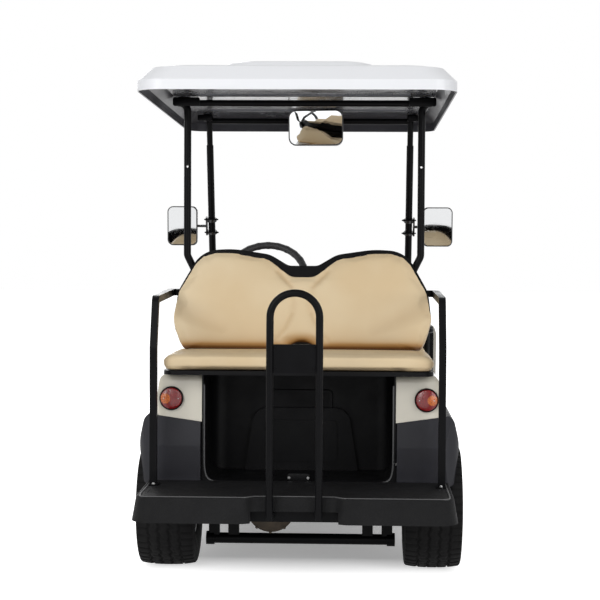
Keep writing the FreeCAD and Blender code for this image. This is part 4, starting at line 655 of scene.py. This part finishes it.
def lobed_back(name, node, foot, lean, facing, top):
    """A two-lobed backrest: soft creases at its waist, with painted shade in them, at its foot, round
    its arch and on its turned-away edges.
    """
    made = softened(name, node, 0.007, 0.005, 0.018, 5.0)
    smoothed(made, 2)
    front = (0.004, 0.0) if facing > 0 else (0.0, 0.004)
    fitted(made, node, lean, ((0.002, 0.002), front, (0.0, 0.003)))
    places, normals = read_mesh(made)
    slant = math.radians(lean)
    away_y = places[:, 1] - foot[0]
    away_z = places[:, 2] - foot[1]
    across = places[:, 0]
    up = away_y * math.sin(slant) + away_z * math.cos(slant)
    out = np.array([0.0, -math.cos(slant), math.sin(slant)]) * facing
    shown = np.clip(normals @ out, 0.0, 1.0)
    side = np.abs(across)
    share = top / REAR_BACK_HEIGHT
    creases = [((0.094, 0.318 * share), (0.040, 0.256 * share), 0.0055, 0.009),
               ((0.040, 0.256 * share), (0.030, 0.196 * share), 0.0026, 0.013),
               ((0.030, 0.196 * share), (0.036, 0.152 * share), 0.0026, 0.013),
               ((0.036, 0.152 * share), (0.060, 0.098), 0.0050, 0.009),
               ((0.060, 0.098), (0.094, 0.048), 0.0050, 0.009)]
    sunk = np.zeros(len(side))
    tone = np.zeros(len(side))
    # Painted shade along each crease, deeper for deeper creases
    for start, end, depth, width in creases:
        near = valley(line_distance(side, up, start, end), width)
        sunk = np.maximum(sunk, near * depth)
        tone = np.maximum(tone, near * depth * 60.0)
    # Two shallow diagonal valleys across the lobes, with a painted shadow along them
    for start, end in (((-0.470, 0.165), (-0.300, 0.085)), ((0.460, 0.170), (0.270, 0.075))):
        near = valley(line_distance(across, up, start, end), 0.034)
        sunk = sunk + near * 0.0045
        tone = np.maximum(tone, near * 0.20)
    hollow = np.clip((1.06 - np.hypot(across / 0.062, up / 0.052)) / 0.14, 0.0, 1.0)
    if facing > 0:
        sunk = sunk + hollow * 0.016
    places -= (shown * sunk)[:, None] * out
    write_mesh(made, places)
    # Painted shade at the foot, strongest just above it, and round the rear back's arch
    painted_foot_shade = np.exp(-np.clip(up - 0.022, 0.0, 1.0) / 0.010) * 1.7
    painted_foot_shade = painted_foot_shade + np.exp(-np.clip(up - 0.022, 0.0, 1.0) / 0.028) * 0.75
    arch = valley(np.clip(np.hypot(across / 1.45, up) - 0.040, 0.0, 1.0), 0.030) * 1.3
    arch = arch * (up < 0.12)
    tone = np.maximum(tone, np.maximum(painted_foot_shade, arch if facing > 0 else 0.0)) * (shown > 0.0)
    # Painted near-black shade in the hollow under the arch
    if facing > 0:
        tone = np.maximum(tone, hollow * 3.0)
    # Painted shade where the cover turns away from its front
    painted_edge_shade = np.clip(1 - np.abs(normals @ out), 0.0, 1.0) ** 2 * 0.18
    finish_cushion(made, node, np.maximum(tone, painted_edge_shade))


def make_flat_cushion(name, node, body, fall):
    """A bench cushion: crowned on top, flat where it rests on its pan."""
    made = softened(name, node, 0.0075, 0.004, 0.020, 4.5)
    smoothed(made, 3)
    fitted(made, node, 0.0, ((0.001, 0.001), (0.001, 0.0), (0.0, 0.010)))
    low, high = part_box(node)
    places, normals = read_mesh(made)
    left = places[:, 0] - low.x
    right = high.x - places[:, 0]
    rear = places[:, 1] - low.y
    front = high.y - places[:, 1]
    depth = high.y - low.y
    share = np.clip(rear / depth, 0.0, 1.0)
    middle = np.sin(math.pi * np.clip((places[:, 0] - low.x) / (high.x - low.x), 0.0, 1.0)) ** 0.5
    roof = high.z + 0.001 + 0.007 * middle * np.sin(math.pi * share ** 0.8) - fall * share ** 1.5
    for gap, size in ((np.minimum(left, right), 0.036), (rear, 0.026), (front, 0.026)):
        inward = np.clip(size - gap, 0.0, size)
        roof = roof - (size - np.sqrt(size * size - inward * inward)) * 0.9
    places[:, 2] = np.minimum(places[:, 2], roof)
    places[:, 2] = np.maximum(places[:, 2], low.z + 0.0005)
    filled_out(places, low, high)
    places[:, 0] = np.clip(places[:, 0], low.x - 0.003, high.x + 0.003)
    places[:, 1] = np.clip(places[:, 1], low.y - 0.003, high.y + 0.003)
    rim = np.minimum(np.minimum(left, right), np.minimum(rear, front))
    on_top = normals[:, 2] > 0.35
    places[:, 2] -= 0.0022 * valley(rim - 0.050, 0.006) * on_top
    write_mesh(made, places)
    smoothed(made, 1, 0.4)
    # Painted shade: browner near the pan, at the low ends of the sides, and in the groove round the top
    foot = np.clip(1 - (places[:, 2] - low.z) / 0.020, 0.0, 1.0)
    corner = np.exp(-np.minimum(left, right) / 0.030) * np.clip(
        1 - (places[:, 2] - low.z) / 0.050, 0.0, 1.0)
    tone = np.maximum(0.45 * foot, 0.55 * corner)
    tone = np.maximum(tone, 0.20 * valley(rim - 0.050, 0.004) * on_top)
    finish_cushion(made, node, tone, body)


# Lamps and mirrors
def make_tail_lamps():
    for side, sign in (("left", -1), ("right", 1)):
        centre = Vector((sign * 0.457, TAIL_LAMP_FACE, 0.65))
        out = Vector((0, -1, 0))
        points, faces = [], []
        profile = [(0.004, 0.0385), (0.010, 0.0383), (0.0125, 0.0375)]
        for number in range(11):
            radius = 0.0370 * (1 - number / 11.0)
            rise = 0.0130 + 0.0068 * (1 - (radius / 0.037) ** 2) + (0.0006 if number % 2 else 0.0)
            profile.append((rise, max(0.0015, radius)))
        ringed(points, faces, centre, out, profile, 64)
        made = mesh_piece("tail_lens_" + side, points, faces, MATERIALS["lamp_red"], "cart")
        made.data.materials.append(AMBER)
        for face in made.data.polygons:
            away = face.center - centre
            if math.hypot(away.x - sign * 0.021, away.z) < 0.0185:
                face.material_index = 1
        turned("tail_rim_" + side, centre, out, [
            (0.0, 0.0430), (0.0085, 0.0430), (0.0105, 0.0420), (0.0110, 0.0400), (0.0100, 0.0385),
            (0.002, 0.0385)], 64, MATERIALS["black_plastic"], "cart",
            close=False)
        places = [centre + Vector((across * 0.026, -0.0155, 0)) for across in (-1, 1)]
        bolts("tail_screws_" + side, places, out, 0.0022, ZINC)
        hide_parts("tail_lamps")


def curved_mirror(name, centre, half, tall, corner, tilt, bulge, body="cart"):
    """A mirror set in a moulded wedge: tilt holds its slopes across and up, bulge its radius."""
    centre = Vector(centre)
    reach = abs(tilt[0]) * half + abs(tilt[1]) * tall + 0.003
    if bulge:
        reach += (half * half + tall * tall) / (2 * bulge) * 0.8

    def height(across, up):
        rise = reach + tilt[0] * across + tilt[1] * up
        if bulge:
            rise -= (across * across + up * up) / (2 * bulge)
        return max(0.0008, rise)

    points, faces = [], []
    loop = rounded_loop(half, tall, corner)
    count = len(loop)
    rows = 14
    for row in range(rows + 1):
        share = 0.02 + 0.98 * row / rows
        for across, up in loop:
            points.append(centre + Vector((across * share, -height(across * share, up * share),
                                           up * share)))
    for row in range(rows):
        for step in range(count):
            after = (step + 1) % count
            low, high = row * count, (row + 1) * count
            faces.append((low + step, high + step, high + after, low + after))
    faces.append(tuple(range(count)))
    mesh_piece(name + "_glass", points, faces, GLASS, body)
    points, faces = [], []
    levels = ((0.0, 0.0, 0.0), (0.0004, 0.0016, 0.0), (0.0034, 0.0014, 0.0), (0.0045, -0.0008, 0.0),
              (0.0040, 0.0, 1.0))
    for grow, proud, down in levels:
        outer = rounded_loop(half + grow, tall + grow, corner + grow)
        for (across, up), (inner_x, inner_z) in zip(outer, loop):
            rise = (height(inner_x, inner_z) + proud) * (1 - down)
            points.append(centre + Vector((across, -rise, up)))
    for row in range(len(levels) - 1):
        for step in range(count):
            after = (step + 1) % count
            low, high = row * count, (row + 1) * count
            faces.append((low + step, high + step, high + after, low + after))
    mesh_piece(name + "_rim", points, faces, MATERIALS["mirror_black"], body)


def make_mirror_glass():
    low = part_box("side_mirrors")[0]
    for side, sign, inward, fall in (("left", -1, 0.205, 0.056), ("right", 1, 0.180, 0.070)):
        curved_mirror("side_mirror_" + side, (sign * 0.553, low.y, 1.278), 0.0590, 0.0800,
                      0.020, (sign * inward, fall), 0.0)
    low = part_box("centre_mirror")[0]
    curved_mirror("centre_mirror_face", (0.031, low.y, low.z + 0.0705), 0.1095, 0.067, 0.028,
                  (0.20, 0.50), 0.80)


# Hardware
def strut_place(height):
    """How far along the cart the middle of a front strut stands, at a height below its bend."""
    share = (height - STRUT_FOOT[1]) / (STRUT_BEND[1] - STRUT_FOOT[1])
    return STRUT_FOOT[0] + (STRUT_BEND[0] - STRUT_FOOT[0]) * share


def make_bolts():
    """The bolts at the feet of the bars and struts, on the roof and through the mirror clamps."""
    steel = MATERIALS["black_steel"]
    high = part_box("rear_step")[1]
    foot = high.y - 0.108
    top = high.z + 0.005
    for side, sign in (("left", -1), ("right", 1)):
        bolts("bar_foot_bolts_" + side, [(sign * 0.503, foot + away, top) for away in (-0.022, 0.022)],
              (0, 0, 1), 0.0052, ZINC)
        bolts("strut_foot_bolts_" + side, [
            (sign * 0.404 + across, -0.52 + along, 0.743)
            for across in (-0.023, 0.023) for along in (-0.022, 0.022)], (0, 0, 1), 0.0048, ZINC)
        bolts("front_foot_bolts_" + side, [
            (sign * 0.430 + across, along, 0.850) for across, along in (
                (-0.016, 0.474), (0.016, 0.474), (0.0, 0.510))], (0, 0, 1), 0.0042, ZINC)
        bolts("roof_bolts_" + side, [(sign * 0.470, -0.5505, 1.752), (sign * 0.450, -0.5505, 1.752)],
              (0, -1, 0), 0.0060, steel)
        for number, height in enumerate((1.250, 1.306)):
            along = strut_place(height)
            points, faces = [], []
            start = Vector((sign * 0.430 - 0.031, along - 0.024, height))
            ringed(points, faces, start, (1, 0, 0), [(0, 0.0022), (0.0008, 0.0032), (0.0612, 0.0032),
                                                     (0.062, 0.0022)], 14)
            ringed(points, faces, start, (1, 0, 0), [(0.006, 0.0062), (0.0115, 0.0062)], 6)
            ringed(points, faces, start, (1, 0, 0), [(0.0505, 0.0062), (0.056, 0.0062)], 6)
            mesh_piece("clamp_bolt_%s_%d" % (side, number), points, faces, steel, "cart",
                       smooth=False)
    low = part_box("centre_handle")[0]
    bolts("plate_rivets", [(across, low.y + 0.0100, height) for across in (-0.066, 0.066)
                           for height in (0.793, 0.865)], (0, -1, 0), 0.0036, steel)


def make_step_trim():
    """Beads round the footplate and the bag well in a lighter grey, a painted highlight along their
    rims, and the well's flanges, latch and panel.
    """
    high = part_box("rear_step")[1]
    top = high.z + 0.0004
    rear = -1.377
    bead = [(-0.522, high.y - 0.004, top), (-0.522, -1.20, top), (-0.523, -1.34, top),
            (-0.515, rear, top), (-0.46, rear, top), (-0.30, rear, top), (-0.185, rear, top),
            (-0.165, rear, top), (-0.140, -1.350, top), (-0.120, -1.347, top), (0.0, -1.347, top)]
    bead += [(-x, y, z) for x, y, z in reversed(bead[:-1])]
    # Painted highlight: the beads are a lighter grey than the dark rims they trim
    painted_highlight_grey = surface("painted_rim_highlight", (0.075, 0.075, 0.077), 0.42, 0.08, specular=0.4, grain=(700.0, 0.3))
    tube("step_bead", bead, 0.0026, painted_highlight_grey, "cart")
    inner = [(x * 0.965, y + (0.016 if y < -1.3 else 0.0), z - 0.0012) for x, y, z in bead]
    tube("step_inner_bead", inner, 0.0016, STEP, "cart")
    along = -0.9815
    rim = [(-0.339, along, 0.700), (-0.339, along, 0.60), (-0.339, along, 0.45), (-0.338, along, 0.388),
           (-0.325, along, 0.357), (-0.292, along, 0.3495), (-0.22, along, 0.349),
           (0.0, along, 0.349)]
    rim += [(-x, y, z) for x, y, z in reversed(rim[:-1])]
    tube("well_bead", rim, 0.0030, painted_highlight_grey, "cart")
    for side, sign in (("left", -1), ("right", 1)):
        arc = [(0.288 + 0.058 * math.cos(math.radians(-turn)), 0.405 + 0.058 * math.sin(
            math.radians(-turn))) for turn in range(0, 91, 10)]
        loop = arc + [(0.288, 0.3425), (0.3505, 0.3425), (0.3505, 0.405)]
        count = len(loop)
        points = [(sign * across, depth, up) for depth in (-0.9785, -0.9755) for across, up in loop]
        faces = [tuple(range(count)), tuple(reversed(range(count, 2 * count)))]
        for step in range(count):
            after = (step + 1) % count
            faces.append((step, count + step, count + after, after))
        mesh_piece("well_flange_" + side, points, faces, MATERIALS["black_plastic"], "cart",
                   smooth=False)
    plate("well_latch", (0.0, -0.962, 0.3655), (1, 0, 0), (0, 0, 1), 0.042, 0.0175, 0.012,
          [(0.0, 0.0), (0.010, 0.0), (0.0135, 0.002), (0.0150, 0.006)],
          MATERIALS["black_plastic"], "cart")
    bolts("well_latch_screws", [(across, -0.977, 0.3655) for across in (-0.034, 0.034)], (0, -1, 0),
          0.0042, ZINC)
    plate("well_panel", (0.0, -0.6595, 0.52), (1, 0, 0), (0, 0, 1), 0.118, 0.135, 0.020,
          [(0.0, 0.0), (0.003, 0.001), (0.004, 0.003), (0.0025, 0.010)],
          MATERIALS["black_plastic"], "cart")


def make_axle_case():
    """The cast half of the differential case that shows below the footplate."""
    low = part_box("rear_axle")[0]
    centre = Vector((-0.107, low.y + 0.002, 0.2285))
    out = Vector((0, -1, 0))
    points, faces = [], []
    ringed(points, faces, centre, out, [
        (-0.060, 0.080), (-0.022, 0.082), (-0.020, 0.091), (-0.010, 0.091), (-0.008, 0.082),
        (0.002, 0.070), (0.010, 0.050), (0.014, 0.028), (0.015, 0.010)], 40)
    for point in points:
        if point.z > centre.z + 0.085:
            point.z = centre.z + 0.085
    mesh_piece("axle_case", points, faces, CAST, "cart")
    places = []
    for number in range(10):
        turn = 2 * math.pi * number / 10 + 0.31
        places.append(centre + Vector((math.cos(turn) * 0.0865, -0.0100, math.sin(turn) * 0.0865)))
    places = [place for place in places if place.z < centre.z + 0.08]
    bolts("axle_case_bolts", places, out, 0.0048, CAST)


def make_roof_hardware():
    """Plates where the struts meet the roof, and the blank tag on its liner."""
    black = MATERIALS["black_steel"]
    for side, sign in (("left", -1), ("right", 1)):
        plate("roof_corner_rear_" + side, (sign * 0.452, -0.552, 1.747), (1, 0, 0), (0, 0, 1), 0.052,
              0.017, 0.008, [(0.0, 0.0), (0.004, 0.0), (0.005, 0.001)], black, "cart")
        plate("roof_corner_front_" + side, (sign * 0.445, 0.119, 1.736), (1, 0, 0), (0, 0, 1), 0.030,
              0.013, 0.006, [(0.0, 0.0), (0.004, 0.0), (0.005, 0.001)], black, "cart")
    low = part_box("roof_liner")[0]
    plate("liner_tag", (0.0, low.y, low.z + 0.012), (1, 0, 0), (0, 0.2, 1), 0.016, 0.026, 0.004,
          [(0.0, 0.0), (0.003, 0.0), (0.004, 0.001)], MATERIALS["liner_grey"], "cart")


def make_steering_trim():
    """A hub pad and finger swells on the steering wheel."""
    centre = Vector(STEERING_CENTRE)
    axis = Vector((0, -0.7660444, 0.6427876))
    turned("steering_hub_pad", centre + axis * 0.007, axis, [
        (0.0, 0.046), (0.008, 0.046), (0.014, 0.043), (0.018, 0.036), (0.0195, 0.022),
        (0.0205, 0.020), (0.0205, 0.008)], 48, MATERIALS["black_plastic"], "steering_wheel")
    axis, across, up = basis(axis)
    points, faces = [], []
    for number in range(24):
        turn = 2 * math.pi * number / 24
        place = centre + (across * math.cos(turn) + up * math.sin(turn)) * 0.162
        along = across * -math.sin(turn) + up * math.cos(turn)
        ringed(points, faces, place - along * 0.012, along, [
            (0.0, 0.0146), (0.006, 0.0158), (0.012, 0.0162), (0.018, 0.0158), (0.024, 0.0146)], 20,
            close=False)
    mesh_piece("steering_grip", points, faces, MATERIALS["wheel_rubber"], "steering_wheel")


def make_dash_trim():
    """A gauge and two switches on the dashboard, and rubber ribs on the pedals and floor."""
    black, steel = MATERIALS["black_plastic"], MATERIALS["bare_steel"]
    out = Vector((0, -1, 0))
    place = Vector((-0.36, 0.3955, 0.745))
    turned("gauge", place, out, [(-0.006, 0.030), (0.003, 0.030), (0.0045, 0.0285), (0.0045, 0.026),
                                 (0.0025, 0.0255), (0.0025, 0.010)], 40, black, "cart")
    turned("key_switch", place + Vector((0.09, 0, 0)), out, [
        (-0.006, 0.013), (0.004, 0.013), (0.005, 0.0118), (0.005, 0.008), (0.012, 0.0075),
        (0.0125, 0.003)], 28, steel, "cart")
    turned("direction_switch", place + Vector((0.40, 0, 0)), out, [
        (-0.006, 0.017), (0.003, 0.017), (0.004, 0.015), (0.004, 0.009), (0.016, 0.007),
        (0.019, 0.006), (0.020, 0.002)], 28, black, "cart")
    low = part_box("pedals")[0]
    for name, left, right, bottom, top in (("brake", -0.25, -0.17, 0.430, 0.490),
                                           ("throttle", -0.13, -0.08, 0.400, 0.500)):
        points, faces = [], []
        rows = 7
        for row in range(rows):
            height = bottom + (top - bottom) * (row + 0.5) / rows
            ringed(points, faces, (left + 0.004, low.y, height), (1, 0, 0),
                   [(0, 0.0026), (right - left - 0.008, 0.0026)], 10)
        mesh_piece(name + "_ribs", points, faces, MATERIALS["tyre_rubber"], "cart")
    points, faces = [], []
    for row in range(30):
        across = -0.44 + row * 0.0303
        ringed(points, faces, (across, 0.05, 0.3302), (0, 1, 0), [(0, 0.0024), (0.49, 0.0024)], 8)
    mesh_piece("floor_mat_ribs", points, faces, MATERIALS["tyre_rubber"], "cart")


def make_front_lamps():
    """A dark bezel round each clear lamp in the cowl's openings."""
    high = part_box("headlamps")[1]
    for side, sign in (("left", -1), ("right", 1)):
        loop = rounded_loop(0.0715, 0.0415, 0.026)
        middle = Vector((sign * 0.305, high.y - 0.010, 0.490))
        tube("headlamp_bezel_" + side, [middle + Vector((x, 0.002, z)) for x, z in loop[::2]], 0.0035,
             MATERIALS["black_plastic"], "cart", closed=True)


def make_battery_tops():
    """Six battery cases' vent caps and posts on top of the plain block."""
    low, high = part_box("battery_pack")
    points, faces, posts, post_faces = [], [], [], []
    for column in range(3):
        for row in range(2):
            x = low.x + (high.x - low.x) * (column + 0.5) / 3
            y = low.y + (high.y - low.y) * (row + 0.5) / 2
            for cap in (-1, 0, 1):
                ringed(points, faces, (x + cap * 0.062, y, high.z), (0, 0, 1), [
                    (0, 0.017), (0.007, 0.017), (0.009, 0.015), (0.009, 0.005)], 20)
            for end in (-1, 1):
                ringed(posts, post_faces, (x + end * 0.100, y + end * 0.058, high.z), (0, 0, 1), [
                    (0, 0.010), (0.012, 0.009), (0.013, 0.007)], 16)
    mesh_piece("battery_caps", points, faces, MATERIALS["battery_black"], "cart")
    mesh_piece("battery_posts", posts, post_faces, ZINC, "cart")


def make_valves():
    for end in ("front", "rear"):
        for side, sign in (("left", -1), ("right", 1)):
            low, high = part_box("tyre_%s_%s" % (end, side))
            hub = (low + high) / 2
            body = "wheel_%s_%s" % (end, side)
            turned("valve_%s_%s" % (end, side), hub + Vector((sign * 0.052, 0.0, 0.083)),
                   (sign, 0, 0.25), [(0, 0.0052), (0.018, 0.0046), (0.019, 0.0036), (0.028, 0.0036),
                                     (0.029, 0.002)], 14, MATERIALS["tyre_rubber"], body)


# Stage
def make_stage():
    """A white floor with a painted shadow below the cart over its real shadow, an even white world and
    four soft lamps.
    """
    floor = bpy.data.meshes.new("floor")
    floor.from_pydata([(-30, -30, 0), (30, -30, 0), (30, 30, 0), (-30, 30, 0)], [],
                      [(0, 1, 2, 3)])
    plane = bpy.data.objects.new("floor", floor)
    scene.collection.objects.link(plane)
    made = bpy.data.materials.new("floor")
    made.use_nodes = True
    tree = made.node_tree
    shader = tree.nodes["Principled BSDF"]
    where = tree.nodes.new("ShaderNodeTexCoord").outputs["Object"]
    faint = add_node(tree, "TexNoise", Vector=where, Scale=1.2).outputs[0]
    tree.links.new(mixed(tree, faint, (0.84, 0.84, 0.845), (0.87, 0.87, 0.87)),
                   shader.inputs["Base Color"])
    shader.inputs["Roughness"].default_value = 0.75
    shader.inputs["Specular IOR Level"].default_value = 0.2
    path = tree.nodes.new("ShaderNodeLightPath")
    weak = maths(tree, "MULTIPLY", path.outputs["Is Glossy Ray"], FLOOR_REFLECTED)
    seen = maths(tree, "MAXIMUM", path.outputs["Is Camera Ray"], weak)
    # Painted shadow: the floor glows less below the cart and fully white around it
    spot = add_node(tree, "SeparateXYZ", Vector=where)
    clear = ranged(tree, maths(tree, "ABSOLUTE", spot.outputs[0]), 0.44, 0.62, 0.0, 1.0)
    for start, end in ((-0.58, -0.93), (0.90, 1.30)):
        clear = maths(tree, "MAXIMUM", clear, ranged(tree, spot.outputs[1], start, end, 0.0, 1.0))
    bright = ranged(tree, clear, 0.0, 1.0, FLOOR_PAINTED_SHADOW, 1.0)
    shader.inputs["Emission Color"].default_value = (1, 1, 1, 1)
    tree.links.new(maths(tree, "MULTIPLY", seen, bright), shader.inputs["Emission Strength"])
    floor.materials.append(made)
    world = bpy.data.worlds.new("studio")
    scene.world = world
    world.use_nodes = True
    tree = world.node_tree
    ground = tree.nodes["Background"]
    ground.inputs[0].default_value = (1.0, 1.0, 1.0, 1.0)
    path = tree.nodes.new("ShaderNodeLightPath")
    seen = maths(tree, "MAXIMUM", path.outputs["Is Camera Ray"], path.outputs["Is Glossy Ray"])
    clear = maths(tree, "MAXIMUM", seen, path.outputs["Is Transmission Ray"])
    tree.links.new(ranged(tree, clear, 0.0, 1.0, WORLD_LIGHT, 1.0), ground.inputs[1])
    for name, place, size, power in (("key", (-2.6, -5.6, 3.0), 3.0, 138.0),
                                     ("fill", (3.4, -4.8, 2.0), 2.6, 80.0),
                                     ("top", (0.0, 0.4, 5.4), 4.0, 20.0),
                                     ("front", (-1.5, 5.5, 2.6), 3.0, 90.0)):
        data = bpy.data.lights.new(name, "AREA")
        data.energy = power
        data.size = size
        lamp = bpy.data.objects.new(name, data)
        scene.collection.objects.link(lamp)
        lamp.location = place
        lamp.rotation_euler = (Vector((0, 0, 0.7)) - Vector(place)).to_track_quat(
            "-Z", "Y").to_euler()


def make_camera():
    """Stands behind the cart, a little right of its middle, turned left and down."""
    data = bpy.data.cameras.new("camera")
    data.sensor_width = 36.0
    data.lens = CAMERA_LENS
    data.clip_end = 200.0
    camera = bpy.data.objects.new("camera", data)
    scene.collection.objects.link(camera)
    camera.location = CAMERA_PLACE
    aim = Matrix.Rotation(math.radians(CAMERA_LEFT), 4, "Z") @ Matrix.Rotation(
        math.radians(90 - CAMERA_DOWN), 4, "X") @ Matrix.Rotation(
        math.radians(CAMERA_ROLL), 4, "Z")
    camera.rotation_euler = aim.to_euler()
    scene.camera = camera


make_camera()
make_stage()
make_wheels()
lobed_back("rear_back_cushion", "rear_seat_back", (-0.735, 0.799), 18.4, 1,
           REAR_BACK_HEIGHT)
lobed_back("front_back_cushion", "front_seat_back", (-0.381, 0.85), -8.0, -1,
           FRONT_BACK_HEIGHT)
make_flat_cushion("rear_bench_cushion", "rear_seat_cushion", "cart", 0.005)
make_flat_cushion("front_bench_cushion", "front_seat_cushion", "seat_lid", 0.004)
make_tail_lamps()
make_mirror_glass()
make_bolts()
make_step_trim()
make_axle_case()
make_roof_hardware()
make_steering_trim()
make_dash_trim()
make_front_lamps()
make_battery_tops()
make_valves()

scene.view_settings.view_transform = "Standard"
